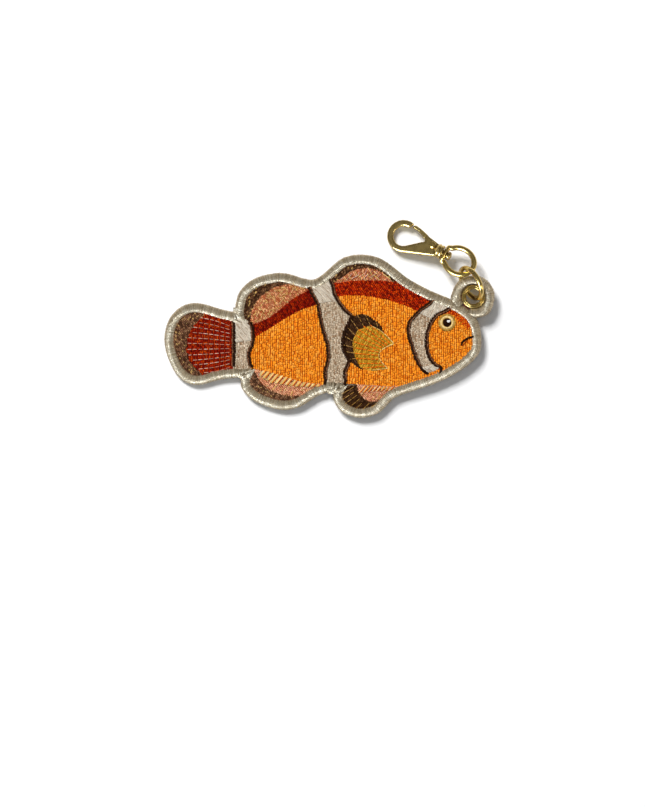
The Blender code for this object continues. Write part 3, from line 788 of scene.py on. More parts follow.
def kept_runs(line: Loop, keep: np.ndarray, least: int = 9) -> list[Loop]:
    """The stretches of a line that are kept.

    Args:
        line: points along it.
        keep: whether each point is kept.
        least: the fewest points a stretch has.

    Returns:
        The stretches.
    """
    cuts = np.flatnonzero(keep[1:] != keep[:-1]) + 1
    pieces = zip(np.split(line, cuts), np.split(keep, cuts))
    return [piece for piece, kept in pieces if kept[0] and len(piece) >= least]


def seams(loop: Loop, others: list[Loop], reach: float = 0.6) -> list[Loop]:
    """The stretches of a panel's edge that run beside other panels.

    Args:
        loop: the panel's dense edge.
        others: the other panels' dense edges.
        reach: how close counts as beside.

    Returns:
        Open lines, moved to the middle of the gap between the panels.
    """
    far = np.concatenate(others)
    gaps = np.linalg.norm(loop[:, None, :] - far[None, :, :], axis=2)
    near = gaps.min(axis=1) < reach
    partner = far[gaps.argmin(axis=1)]
    if near.all() or not near.any():
        return []
    first = next(i for i in range(len(loop)) if near[i] and not near[i - 1])
    order = np.roll(np.arange(len(loop)), -first)
    runs, run = [], []
    for i in order:
        if near[i]:
            run.append((loop[i] + partner[i]) / 2)
        elif run:
            runs.append(np.array(run))
            run = []
    if run:
        runs.append(np.array(run))
    return [r for r in runs if len(r) > 3]


# ------------------------------------------------------------------ sewing
class Side(Enum):
    """The two faces of the charm."""

    FRONT = "front"
    BACK = "back"


class Sewing:
    """Stitches of one piece, laid on the charm's front and copied to its back.

    Attributes:
        SPREAD: where the corners of a stitch's section lie across it, from -1 to 1.
        CROWN: how high they stand, from 0 to 1.
        RISE: how high a stitch stands at each station along it.
        SWELL: how wide it is there.
        DIVE: length over which it dives into the cloth, in millimetres.
        SUNK: how far its foot lies under its lift.
    """

    SPREAD = np.cos(np.linspace(math.pi, 0, 5))
    CROWN = np.sin(np.linspace(math.pi, 0, 5))
    RISE = np.array([0.0, 0.72, 1.0, 1.0, 1.0, 0.72, 0.0])[None, :, None]
    SWELL = np.array([0.45, 0.85, 1.0, 1.0, 1.0, 0.85, 0.45])[None, :, None]
    DIVE = 0.24
    SUNK = 0.04

    def __init__(self, seed: int) -> None:
        """Starts with no stitches.

        Args:
            seed: of the random variation.
        """
        self.rng = np.random.default_rng(seed)
        self.rows: list[tuple] = []
        self.grounds: list[tuple[list[Loop], float, Colour]] = []

    def stitch(self, start: Point, end: Point, thread: Thread, width: float, height: float,
               lift: float, dome: float = 0.03) -> None:
        """Adds one stitch.

        Args:
            start: where the needle comes up.
            end: where it goes down.
            thread: its thread.
            width: of the thread.
            height: of the thread.
            lift: height of its foot over the charm's back.
            dome: extra height of its middle.
        """
        self.rows.append((*start, *end, width, height, lift, dome, *thread.value.picked(self.rng)))

    def ground(self, loops: list[Loop], lift: float, thread: Thread) -> None:
        """Adds the flat layer that shows between a panel's stitches, in the thread's ground colour: painted shade
        of the gaps.

        Args:
            loops: its edge and any holes in it.
            lift: its height over the charm's back.
            thread: the thread whose ground colour, a painted shade, it has.
        """
        self.grounds.append((loops, lift, thread.value.ground))

    def fill(self, loops: list[Loop], fill: Fill, lift: float) -> None:
        """Fills a panel with rows of stitches.

        Args:
            loops: the panel's edge and any holes in it.
            fill: how it is sewn.
            lift: height of the stitches' feet.
        """
        angle = math.radians(fill.angle)
        along = np.array((math.cos(angle), math.sin(angle)))
        aside = np.array((-along[1], along[0]))
        edges = [(loop @ along, loop @ aside) for loop in loops]
        low = min(y.min() for _, y in edges)
        high = max(y.max() for _, y in edges)
        for row in np.arange(low + fill.pitch * 0.4, high, fill.pitch):
            cuts = []
            for x, y in edges:
                x2, y2 = np.roll(x, -1), np.roll(y, -1)
                hit = (y > row) != (y2 > row)
                cuts += list(x[hit] + (row - y[hit]) * (x2[hit] - x[hit]) / (y2[hit] - y[hit]))
            cuts.sort()
            for a, b in zip(cuts[::2], cuts[1::2]):
                self._row(a, b, row, along, aside, fill, lift)

    def _row(self, a: float, b: float, row: float, along: np.ndarray, aside: np.ndarray,
             fill: Fill, lift: float) -> None:
        """Sews one row of a fill.

        Args:
            a: where the row starts along the stitch direction.
            b: where it ends.
            row: its place across the stitch direction.
            along: the stitch direction.
            aside: the direction across it.
            fill: how the panel is sewn.
            lift: height of the stitches' feet.
        """
        a -= fill.reach * self.rng.uniform(0.5, 1.4)
        b += fill.reach * self.rng.uniform(0.5, 1.4)
        holes = [a, b]
        if fill.length:
            first = self.rng.random() * fill.length
            steps = np.arange(math.ceil((a - first) / fill.length), math.floor((b - first) / fill.length) + 1)
            stray = self.rng.normal(0, fill.scatter * fill.length, len(steps))
            least = 0.3 * fill.length
            holes = [a]
            for hole in np.sort(steps * fill.length + first + stray):
                if holes[-1] + least < hole < b - least:
                    holes.append(hole)
            holes.append(b)
        for start, end in zip(holes, holes[1:]):
            swing = math.radians(self.rng.normal(0, fill.wander)) if fill.wander else 0.0
            offset = row + self.rng.normal(0, 0.11 * fill.pitch)
            half = math.tan(swing) * (end - start) / 2
            self.stitch(tuple(along * start + aside * (offset - half)),
                        tuple(along * end + aside * (offset + half)),
                        fill.thread, fill.width * self.rng.uniform(0.78, 1.1),
                        fill.height * self.rng.uniform(0.85, 1.15), lift, fill.dome)

    def running(self, line: list[Point] | Loop, thread: Thread, stitch: float, gap: float,
                width: float, height: float, lift: float) -> None:
        """Sews a dashed line.

        Args:
            line: the points it follows.
            thread: its thread.
            stitch: length of a dash.
            gap: length between dashes.
            width: of the thread.
            height: of the thread.
            lift: height of its foot.
        """
        step = 0.1
        path = resampled(np.array(line, float), step)
        pitch = stitch + gap
        count = max(1, int(len(path) * step / pitch + 0.6))
        for k in range(count):
            i = min(len(path) - 2, round(k * pitch / step))
            j = min(len(path) - 1, i + round(stitch * self.rng.uniform(0.88, 1.12) / step))
            if j - i > 3:
                self.stitch(tuple(path[i]), tuple(path[j]), thread, width, height, lift, 0.05)

    def column(self, line: Loop, thread: Thread, width: float, height: float, lift: float,
               pitch: float = 0.36, slant: float = 0.25, dome: float = 0.16) -> None:
        """Sews a narrow satin line: short stitches across its direction.

        Args:
            line: the middle of the line.
            thread: its thread.
            width: of the line.
            height: of the thread.
            lift: height of its foot.
            pitch: distance between stitches.
            slant: how far each stitch leans along the line.
            dome: how round the line is.
        """
        path = resampled(line, pitch)
        along = np.gradient(path, axis=0)
        along /= np.linalg.norm(along, axis=1)[:, None]
        aside = np.stack([-along[:, 1], along[:, 0]], axis=1)
        for spot, forward, left in zip(path, along, aside):
            half = width / 2 * self.rng.uniform(0.88, 1.12)
            lean = forward * slant * width
            self.stitch(tuple(spot - left * half - lean), tuple(spot + left * half + lean),
                        thread, pitch * 1.25, height, lift, dome)

    def ruled(self, first: list[Point], second: list[Point], thread: Thread, lift: float, dome: float,
              pitch: float = 0.30) -> None:
        """Sews satin between two edges, rounder where it is wider.

        Args:
            first: points of one edge.
            second: points of the other edge.
            thread: its thread.
            lift: height of the stitches' feet.
            dome: how far a stitch three millimetres long stands up.
            pitch: distance between stitches.
        """
        step, full = 0.05, 3.0
        one, two = (resampled(np.array(edge, float), step) for edge in (first, second))
        length = max(len(one), len(two)) * step
        for share in np.linspace(0, 1, round(length / pitch) + 1):
            a, b = (edge[round(share * (len(edge) - 1))] for edge in (one, two))
            a, b = (end + self.rng.normal(0, 0.05, 2) for end in (a, b))
            across = float(np.linalg.norm(b - a))
            if across > 0.15:
                self.stitch(tuple(a), tuple(b), thread, pitch * 1.25, 0.15, lift,
                            dome * min(1.0, across / full))

    def shaped(self) -> tuple[np.ndarray, ...]:
        """Shapes all the stitches.

        Returns:
            Corners in millimetres, four-sided faces, thread coordinates and colours, with painted shade at each
            stitch's ends and sides.
        """
        rows = np.array(self.rows)
        start, end, colour = rows[:, 0:2], rows[:, 2:4], rows[:, 8:11]
        width, height, lift, dome = (rows[:, k, None, None] for k in (4, 5, 6, 7))
        run = end - start
        length = np.maximum(np.linalg.norm(run, axis=1), 1e-4)
        aside = np.stack([-run[:, 1], run[:, 0]], axis=1) / length[:, None]
        dive = np.minimum(self.DIVE, 0.45 * length) / length
        t = np.stack([0 * dive, 0.3 * dive, dive, 0 * dive + 0.5, 1 - dive, 1 - 0.3 * dive, 0 * dive + 1], 1)
        spread, crown = self.SPREAD[None, None, :], self.CROWN[None, None, :]
        across = spread * self.SWELL * width / 2
        flat = (start[:, None, None, :] + run[:, None, None, :] * t[:, :, None, None]
                + aside[:, None, None, :] * across[..., None])
        bend = 4 * t * (1 - t)
        corners = raised(flat, lift - self.SUNK + height * self.RISE * crown + dome * bend[:, :, None])
        # Painted shade: each stitch is darker where it dives into the cloth and along its sides, where it meets
        # its neighbours.
        shade = (0.58 + 0.42 * self.RISE ** 0.7) * (0.26 + 0.74 * crown ** 0.7)
        tone = colour[:, None, None, :] * np.broadcast_to(shade, corners.shape[:3])[..., None]
        grid = np.arange(corners[..., 0].size).reshape(corners.shape[:3])
        faces = np.stack([grid[:, :-1, :-1], grid[:, 1:, :-1], grid[:, 1:, 1:], grid[:, :-1, 1:]], 3)
        return (corners.reshape(-1, 3), faces.reshape(-1, 4)[:, ::-1],
                paired((spread + 1) / 2, (t * length[:, None])[:, :, None]), tone.reshape(-1, 3))

    def mesh(self, name: str, plane: CharmPlane, side: Side, thickness: float) -> bpy.types.Object:
        """Makes the piece for one face of the charm.

        Args:
            name: the piece's name.
            plane: the charm's plane.
            side: which face of the charm it is on.
            thickness: of the charm at its border.

        Returns:
            The piece, with no material yet.
        """
        work = Needlework()
        # Ground layers, in colours of painted shade between the stitches.
        for loops, lift, ground in self.grounds:
            flat = [[Vector((*p, lift)) for p in loop] for loop in loops]
            points = np.array([p for loop in flat for p in loop])
            faces = []
            for triangle in tessellate_polygon(flat):
                a, b, c = points[list(triangle)]
                ahead = np.cross(b - a, c - a)[2] > 0
                faces.append(triangle if ahead else triangle[::-1])
            work.add(points, np.array(faces), np.zeros((len(points), 2)), np.tile(ground, (len(points), 1)),
                     points[:, :2])
        corners, faces, thread, tone = self.shaped()
        work.add(corners, faces, thread, tone, corners[:, :2])
        if side is Side.BACK:
            work.turn_over(thickness)
        return work.piece(name, plane)


class Needlework:
    """Shaped threads and padding, gathered for one mesh."""

    def __init__(self) -> None:
        """Starts with nothing."""
        self.parts: list[tuple[np.ndarray, ...]] = []
        self.faces: list[list[int]] = []
        self.count = 0

    def add(self, corners: np.ndarray, faces: np.ndarray, thread: np.ndarray, tone: np.ndarray,
            chart: np.ndarray) -> None:
        """Adds shaped threads.

        Args:
            corners: in the plane's millimetres.
            faces: corner numbers of each face.
            thread: place across and along the thread, for each corner.
            tone: linear colour of each corner.
            chart: each corner's place on the flat map kept in the OFBake UV layer.
        """
        self.parts.append((corners, thread, tone, chart))
        self.faces += (faces + self.count).tolist()
        self.count += len(corners)

    def turn_over(self, thickness: float) -> None:
        """Moves it all to the charm's other face.

        Args:
            thickness: of the charm at its border.
        """
        flip = np.array((1.0, 1.0, -1.0))
        self.parts = [(corners * flip + (0.0, 0.0, thickness), *rest) for corners, *rest in self.parts]
        self.faces = [face[::-1] for face in self.faces]

    def piece(self, name: str, plane: CharmPlane) -> bpy.types.Object:
        """Makes the object.

        Args:
            name: the piece's name.
            plane: the charm's plane.

        Returns:
            The piece, smooth-shaded, with no material yet.
        """
        corners, thread, tone, chart = (np.concatenate(column) for column in zip(*self.parts))
        mesh = bpy.data.meshes.new(name)
        mesh.from_pydata(plane.placed(corners).tolist(), [], self.faces)
        loops = np.empty(len(mesh.loops), dtype=np.int32)
        mesh.loops.foreach_get("vertex_index", loops)
        low, high = chart.min(axis=0), chart.max(axis=0)
        spread = (chart - low) / (high - low).max() * 0.98 + 0.01
        for title, values in (("OFBake", spread), ("thread", thread)):
            layer = mesh.uv_layers.new(name=title)
            layer.data.foreach_set("uv", values[loops].astype(np.float32).ravel())
        mesh.uv_layers.active = mesh.uv_layers["OFBake"]
        paint = mesh.color_attributes.new("tone", "FLOAT_COLOR", "POINT")
        rgba = np.concatenate([np.clip(tone, 0, 1), np.ones((len(tone), 1))], axis=1)
        paint.data.foreach_set("color", rgba.astype(np.float32).ravel())
        mesh.shade_smooth()
        mesh.update()
        return linked(name, mesh)


# ------------------------------------------------------------------ panels
FILLS = {
    "tail_fin_edge": ("brown", Fill(Thread.BROWN, 128, 0.60, 0.70, 0.62, 0.19, wander=9)),
    "tail_fin_red": ("red", Fill(Thread.RUST, 95, 0.72, 0.6, 0.72, 0.20, 0.3, wander=4)),
    "peduncle_band": ("pale", Fill(Thread.LINEN, 90, 0.58, 0.70, 0.58, 0.16, 0.3)),
    "rear_dorsal_edge": ("brown", Fill(Thread.UMBER, 62, 0.60, 0.70, 0.62, 0.19, wander=9)),
    "rear_dorsal_pink": ("pink", Fill(Thread.PINK, 132, 0.62, 0.6, 0.60, 0.18, 0.3, wander=4)),
    "rear_stripe": ("red", Fill(Thread.CRIMSON, 122, 0.66, 0.7, 0.66, 0.20, 0.3, wander=3)),
    "rear_body": ("orange", Fill(Thread.ORANGE, 90, 0.82, 1.05, 0.80, 0.24, 0.35, wander=2.0)),
    "anal_fin_pink": ("pink", Fill(Thread.ROSE, 132, 0.60, 0.8, 0.60, 0.18, 0.3, wander=4)),
    "anal_fin_edge": ("brown", Fill(Thread.BROWN, 126, 0.60, 0.70, 0.62, 0.19, wander=9)),
    "middle_band": ("pale", Fill(Thread.LINEN, 90, 0.58, 0.70, 0.58, 0.16, 0.3)),
    "front_dorsal_edge": ("brown", Fill(Thread.UMBER, 58, 0.60, 0.70, 0.62, 0.19, wander=9)),
    "front_dorsal_pink": ("pink", Fill(Thread.PINK, 122, 0.62, 0.6, 0.60, 0.18, 0.3, wander=4)),
    "front_stripe": ("red", Fill(Thread.RED, 122, 0.66, 0.7, 0.66, 0.20, 0.3, wander=3)),
    "front_body": ("orange", Fill(Thread.ORANGE, 90, 0.82, 1.05, 0.80, 0.24, 0.35, wander=2.0)),
    "pectoral_fin_edge": ("brown", Fill(Thread.DARK, 128, 0.44, 1.5, 0.48, 0.2, wander=8)),
    "pectoral_fin": ("gold", Fill(Thread.GOLD, 62, 0.42, 1.6, 0.46, 0.16, wander=3)),
    "pelvic_fin_edge": ("brown", Fill(Thread.DARK, 48, 0.44, 1.5, 0.48, 0.2, wander=8)),
    "pelvic_fin_pink": ("pink", Fill(Thread.ROSE, 128, 0.60, 0.8, 0.60, 0.18, 0.3, wander=4)),
    "head_band": ("pale", Fill(Thread.LINEN, 90, 0.58, 0.70, 0.58, 0.16, 0.3)),
    "head": ("orange", Fill(Thread.ORANGE, 90, 0.82, 0.9, 0.80, 0.24, 0.35, wander=4.0)),
}
# Where each band's long satin starts: a point on its limit, the direction kept, and the stitches' angle.
SATIN_TOPS = {
    "peduncle_band": ((-28.6, -0.3), (-0.12, 1.0), 130),
    "middle_band": ((4.0, 14.8), (-0.15, 1.0), 134),
    "head_band": ((42.0, 8.6), (0.45, 1.0), 62),
}
# Where a panel stops beside a notch in the outline: a point on the limit, and the direction kept.
PANEL_LIMITS = (
    ("pelvic_fin_edge", (8.0, -17.6), (0.0, -1.0)), ("pelvic_fin_edge", (10.2, -17.3), (0.89, -0.456)),
    ("anal_fin_edge", (-26.0, -12.1), (0.0, -1.0)), ("anal_fin_edge", (-25.4, -11.9), (0.88, -0.47)),
    ("anal_fin_pink", (-24.0, -11.2), (0.0, -1.0)), ("tail_fin_red", (-33.7, -8.0), (-1.0, 0.0)),
)
# How far the lighter line lies beside the dark one, and how low and how high both run.
PALE_PANELS = {
    "peduncle_band": (-0.44, -10.5, 6.9),
    "middle_band": (0.44, -15.4, 30.0),
    "head_band": (0.44, -10.3, 20.0),
}
# Where the dark lines end, under the bands.
LINE_ENDS = (
    [(2.2, -14.9), (2.1, -16.0), (1.9, -17.2)],
    [(9.9, -14.9), (9.8, -16.0), (9.5, -17.2)],
    [(38.3, -9.9), (39.3, -11.4), (41.3, -12.9)],
    [(44.4, -9.7), (45.8, -10.0), (46.5, -10.7), (46.4, -11.8), (46.1, -12.9)],
)
# The curve on which the tail's rays end.
TAIL_ARC = [(-45.9, 8.6), (-49.3, 3.9), (-50.9, -2.0), (-49.6, -7.9), (-44.9, -12.6)]
# Where the pectoral fin's rays start and end, its pale edges, and where the rays of its dark rim end.
PECTORAL_ROOTS = [(27.0, -1.3), (25.8, -1.9), (24.8, -2.3), (23.8, -2.9), (22.9, -3.8), (22.5, -4.7),
                  (22.3, -5.9), (22.5, -7.4), (23.8, -8.9), (25.3, -10.1)]
PECTORAL_TIPS = [(19.3, 5.8), (16.8, 5.3), (14.8, 4.0), (13.6, 1.8), (13.1, -0.7), (13.1, -2.9),
                 (13.3, -5.1), (13.8, -7.1), (14.8, -9.1), (16.3, -10.8)]
PECTORAL_EDGES = ([(28.3, -1.3), (25.6, 1.6), (22.8, 3.9), (19.6, 5.4)],
                  [(25.9, -10.8), (23.4, -8.0), (22.5, -5.4), (24.9, -3.0), (28.3, -1.5)],
                  [(20.0, -11.6), (26.0, -10.9)])
PECTORAL_RIM = [(20.6, 9.0), (17.3, 10.0), (14.4, 9.6), (11.8, 8.0), (10.3, 5.0), (9.4, 1.5), (9.1, -1.9),
                (9.6, -4.4), (11.1, -7.4)]
# Where the pelvic fin's rays start and end.
PELVIC_FEET = [(7.6, -21.2), (7.9, -23.4), (8.9, -25.1), (10.6, -26.4), (13.0, -27.1), (16.2, -26.9),
               (19.4, -26.1)]
PELVIC_HEADS = [(13.4, -17.8), (13.9, -19.4), (14.4, -21.0), (15.2, -22.6), (16.6, -23.7), (19.0, -24.2),
                (21.8, -24.3)]
# The line on which the anal fin's slanting bars stand.
ANAL_ROOT = [(-21.6, -11.7), (-15.0, -13.5), (-7.3, -15.9), (-0.6, -17.0)]
# The flecks: panel, thread, angle, pitch, stitch length, and the share that is kept.
FLECKS = (
    ("front_dorsal_pink", Thread.STRAW, 132, 1.5, 2.0, 0.7),
    ("front_dorsal_pink", Thread.BLUSH, 48, 1.6, 1.5, 0.7),
    ("rear_dorsal_pink", Thread.STRAW, 128, 0.8, 0.6, 0.34),
    ("rear_dorsal_pink", Thread.STRAW, 52, 1.0, 0.6, 0.34),
    ("anal_fin_pink", Thread.STRAW, 50, 1.3, 0.8, 0.4),
    ("pelvic_fin_pink", Thread.STRAW, 52, 1.4, 0.9, 0.4),
)
# The lower edge of the red cap, and the mouth's dark line and its lip.
BROW = [(45.0, 9.8), (48.7, 10.0), (51.8, 9.0), (53.9, 6.9), (57.2, 4.2), (60.5, 2.6)]
MOUTH = [(54.35, -1.9), (54.6, -0.8), (55.8, 0.15), (57.2, 0.9), (58.8, 1.25)]
LIP = [(54.9, -2.3), (55.3, -1.3), (56.2, -0.7)]


@dataclass
class Embroidery:
    """All that is sewn inside the border, on both faces of the cloth.

    Attributes:
        plane: the charm's plane.
        finish: the thread material.
        thickness: of the charm at its border.
        top: height of the CAD panels' faces.
        foot: height at which the fills are sewn.
        over: height at which details lie on the fills.
        overlap: how far the panels run under the border.
        border_reach: how far in from the outline the border's edge is.
        line_width: of the dark lines beside the pale bands.
        waver: how far the dark lines stray from side to side.
        tail_rays: number of rays on the tail.
        anal_bars: number of slanting bars on the anal fin.
        pelvic_bars: number of them on the pelvic fin.
        eye: the middle of the eye.
        eye_radius: of the eye's ring.
        pupil_radius: of its pupil.
        made: the pieces made so far.
        panels: the edge of each panel and of any holes in it.
    """

    plane: CharmPlane
    finish: bpy.types.Material
    thickness: float = 3.0
    top: float = 2.8
    foot: float = 2.38
    over: float = 2.60
    overlap: float = 0.55
    border_reach: float = 3.95
    line_width: float = 1.5
    waver: float = 0.11
    tail_rays: int = 12
    anal_bars: int = 13
    pelvic_bars: int = 8
    eye: Point = (48.7, 6.7)
    eye_radius: float = 3.2
    pupil_radius: float = 1.6
    made: list[bpy.types.Object] = field(default_factory=list)
    panels: dict[str, list[Loop]] = field(default_factory=dict)

    def build(self) -> None:
        """Sews every panel, line and detail on both faces."""
        outline = resampled(rims(self.plane, "border", self.thickness * BORDER_SHOULDER)[0], 0.4, closed=True)
        for name in FILLS:
            loops = rims(self.plane, f"{name}_front", self.top)
            edge = rounded_panel(loops[0] if area(loops[0]) > 0 else loops[0][::-1])
            gap = np.linalg.norm(edge[:, None, :] - outline[None, :, :], axis=2).min(axis=1)
            tucked = np.where(gap < self.border_reach, self.overlap, 0.0)
            self.panels[name] = [edge - inward(edge) * tucked[:, None], *map(rounded_panel, loops[1:])]
        for name, point, keep in PANEL_LIMITS:
            self.panels[name][0] = clipped(self.panels[name][0], point, keep)
        for seed, (name, (slot, fill)) in enumerate(FILLS.items()):
            self._panel(name, fill, seed)
        self._band_satins()
        self._outlines()
        self._tail_rays()
        self._fin_rays()
        self._fin_bars()
        self._flecks()
        self._head()
        self._eyes()

    def _both(self, name: str, sewing: Sewing, node: str | None = None) -> None:
        """Makes a piece for each face of the charm.

        Args:
            name: the piece's name, without its side.
            sewing: its stitches.
            node: the CAD node it stands for, without its side.
        """
        for side in Side:
            piece = sewing.mesh(f"{name}_{side.value}", self.plane, side, self.thickness)
            piece.data.materials.append(self.finish)
            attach(piece, "charm")
            if node:
                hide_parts(f"{node}_{side.value}")
            self.made.append(piece)
        log.info("%s: %d stitches on each face", name, len(sewing.rows))

    def _panel(self, name: str, fill: Fill, seed: int) -> None:
        """Sews one panel.

        Args:
            name: of the panel.
            fill: how it is sewn.
            seed: of its random variation.
        """
        sewing = Sewing(seed)
        edge, *holes = self.panels[name]
        # Painted shade: a darker ground of the panel's thread under its stitches.
        sewing.ground([edge - inward(edge) * 0.2, *holes], self.foot - 0.04, fill.thread)
        sewing.fill(self.panels[name], fill, self.foot)
        self._both(f"{name}_stitches", sewing, name)

    def _band_satins(self) -> None:
        """Sews the long pale satin stitches over the tops of the three bands."""
        sewing = Sewing(101)
        for name, (point, keep, angle) in SATIN_TOPS.items():
            satin = Fill(Thread.PEARL, angle, 0.30, 2.2, 0.36, 0.12, 0.4, reach=0.12, wander=2.0)
            sewing.fill([clipped(self.panels[name][0], point, keep)], satin, self.over - 0.08)
        low = clipped(self.panels["head_band"][0], (42.0, -9.8), (0.3, -1.0))
        sewing.fill([low], Fill(Thread.PEARL, 140, 0.30, 1.5, 0.36, 0.14, 0.3, reach=0.1, wander=4.0),
                    self.over - 0.06)
        self._both("band_satin", sewing)

    def _outlines(self) -> None:
        """Sews the dark lines beside the pale bands, each with a lighter line on its fish side."""
        dark, light = Sewing(102), Sewing(103)
        fin = resampled(self.panels["pectoral_fin_edge"][0], 0.3, closed=True)
        for name, (shift, low, high) in PALE_PANELS.items():
            others = [loop for other, loops in self.panels.items() if other != name for loop in loops]
            own = resampled(self.panels[name][0], 0.35, closed=True)
            dense = [resampled(loop, 0.2, closed=True) for loop in others]
            lines = [run for line in seams(own, dense)
                     for run in kept_runs(line, (line[:, 1] > low) & (line[:, 1] < high))]
            for line in lines:
                smooth = resampled(line[::3], 0.35)
                smooth += dark.rng.normal(0, self.waver, (len(smooth), 1)) * (1.0, 0.0)
                dark.column(smooth, Thread.LINE, self.line_width, 0.2, self.over - 0.05, 0.3)
                away = np.linalg.norm(smooth[:, None] - fin[None], axis=2).min(axis=1)
                for run in kept_runs(smooth, away > 0.9, 4):
                    light.column(run + (shift, 0.0), Thread.LINE_EDGE, 0.46, 0.16, self.over + 0.12, 0.3)
        for line in LINE_ENDS:
            dark.column(np.array(line), Thread.LINE, 0.75 * self.line_width, 0.2, self.over - 0.05, 0.3)
        self._both("dark_lines", dark)
        self._both("brown_lines", light)

    def _tail_rays(self) -> None:
        """Sews the dashed pale rays that fan over the tail."""
        sewing = Sewing(104)
        arc = resampled(np.array(TAIL_ARC), 0.2)
        for share in np.arange(self.tail_rays) / (self.tail_rays - 1):
            left = arc[round(share * (len(arc) - 1))]
            right = np.array((-34.6, 5.4 - 15.9 * share))
            bow = (left + right) / 2 + np.array((0.0, 0.45 * (1 - 2 * share)))
            sewing.running([right, bow, left], Thread.BLUSH, 1.6, 0.5, 0.23, 0.15, self.over)
        self._both("tail_rays", sewing)

    def _fan(self, sewing: Sewing, starts: list[Point], ends: list[Point], thread: Thread,
             stitch: float, gap: float, width: float) -> None:
        """Sews dashed rays between pairs of points.

        Args:
            sewing: where the stitches go.
            starts: the points the rays start on.
            ends: the points they end on.
            thread: their thread.
            stitch: length of a dash.
            gap: length between dashes.
            width: of the thread.
        """
        for a, b in zip(starts, ends):
            middle = ((a[0] + b[0]) / 2, (a[1] + b[1]) / 2)
            sewing.running([a, middle, b], thread, stitch, gap, width, 0.16, self.over)

    def _fin_rays(self) -> None:
        """Sews the rays of the pectoral and pelvic fins."""
        gold = Sewing(105)
        self._fan(gold, PECTORAL_ROOTS, PECTORAL_TIPS, Thread.CORAL, 1.3, 0.22, 0.42)
        for edge in PECTORAL_EDGES:
            gold.running(edge, Thread.STRAW, 1.6, 0.15, 0.30, 0.18, self.over + 0.02)
        self._both("pectoral_rays", gold)
        tan = Sewing(106)
        self._fan(tan, [(22.2, 5.2), *PECTORAL_TIPS], PECTORAL_RIM, Thread.TAN, 1.4, 0.3, 0.24)
        self._fan(tan, PELVIC_FEET, PELVIC_HEADS, Thread.TAN, 2.0, 0.2, 0.22)
        self._both("dark_fin_rays", tan)

    def _bar(self, sewing: Sewing, foot: np.ndarray, lean: np.ndarray,
             threads: tuple[tuple[float, Thread, float], ...]) -> None:
        """Sews the stitches of one slanting bar, side by side.

        Args:
            sewing: where the stitches go.
            foot: where the first starts.
            lean: from where each starts to where it ends.
            threads: each stitch's distance from the first, its thread and its width.
        """
        for offset, thread, width in threads:
            start = foot + (offset, 0.0)
            sewing.stitch(tuple(start), tuple(start + lean), thread, width, 0.2, self.over, 0.1)

    def _fin_bars(self) -> None:
        """Sews the slanting bars of the anal and pelvic fins, and the curl at the anal fin's start."""
        bars = Sewing(107)
        root = resampled(np.array(ANAL_ROOT), 0.1)
        full = 0.25
        for share in np.arange(self.anal_bars) / (self.anal_bars - 1):
            reach = (2.6 + 7.2 * share) if share < full else 4.4 - 3.1 * (share - full) / (1 - full)
            self._bar(bars, root[round(share * (len(root) - 1))], np.array((-0.64, -0.77)) * reach,
                      ((0.0, Thread.WHEAT, 0.54), (0.45, Thread.WHEAT, 0.54), (0.92, Thread.CORAL, 0.32)))
        for share in np.arange(self.pelvic_bars) / (self.pelvic_bars - 1):
            self._bar(bars, np.array((17.2 + 10.6 * share, -17.6 - 0.4 * share)),
                      np.array((-0.66, -0.75)) * (3.6 - 1.9 * share),
                      ((0.0, Thread.WHEAT, 0.34), (0.42, Thread.CORAL, 0.34)))
        turns = np.linspace(0.3, math.tau * 1.15, 30)
        bars.running(circle((-23.2, -13.0), 0.075 * (4 + turns * 1.3), turns), Thread.BLUSH, 0.9, 0.05, 0.34,
                     0.16, self.over)
        self._both("fin_bars", bars)

    def _flecks(self) -> None:
        """Scatters the gold and pale cross-stitches over the pink fins."""
        sewing = Sewing(108)
        for name, thread, angle, pitch, length, kept in FLECKS:
            fill = Fill(thread, angle, pitch, length, 0.28, 0.18, 0.35, reach=-0.3, wander=12)
            before = len(sewing.rows)
            sewing.fill(self.panels[name], fill, self.over - 0.02)
            sewing.rows[before:] = [row for row in sewing.rows[before:] if sewing.rng.random() < kept]
        self._both("fin_flecks", sewing)

    def _head(self) -> None:
        """Sews the red cap along the forehead, and the mouth."""
        sewing = Sewing(109)
        for thread, pitch, sunk in ((Thread.SCARLET, 0.38, 0.12), (Thread.CRIMSON, 0.62, 0.10)):
            fill = Fill(thread, 64, pitch, 0.9, 0.46, 0.16, reach=0.3, wander=8)
            sewing.fill(self.panels["head"], fill, self.over - sunk)
        middles = np.array([((row[0] + row[2]) / 2, (row[1] + row[3]) / 2) for row in sewing.rows])
        away = np.linalg.norm(middles - np.array(self.eye), axis=1)
        above = middles[:, 1] > np.interp(middles[:, 0], *np.array(BROW).T)
        sewing.rows = [row for row, kept in zip(sewing.rows, above & (away > self.eye_radius)) if kept]
        self._both("red_cap", sewing)
        mouth = Sewing(110)
        mouth.column(np.array(MOUTH), Thread.LINE, 0.75, 0.2, self.over, 0.3)
        mouth.column(np.array(LIP), Thread.RUST, 0.3, 0.12, self.over, 0.3)
        self._both("mouth", mouth)

    def _ring(self, sewing: Sewing, inner: float, outer: float, thread: Thread, count: int, lift: float,
              dome: float) -> None:
        """Sews radial satin between two circles round the eye.

        Args:
            sewing: where the stitches go.
            inner: radius where they start.
            outer: radius where they end.
            thread: their thread.
            count: number of stitches.
            lift: height of their feet.
            dome: how far their middles stand up.
        """
        centre = np.array(self.eye)
        for k in range(count):
            a = math.tau * (k + sewing.rng.normal(0, 0.12)) / count
            out = np.array((math.cos(a), math.sin(a)))
            sewing.stitch(tuple(centre + out * inner), tuple(centre + out * outer), thread,
                          math.tau * outer / count * 1.15, 0.12, lift, dome)

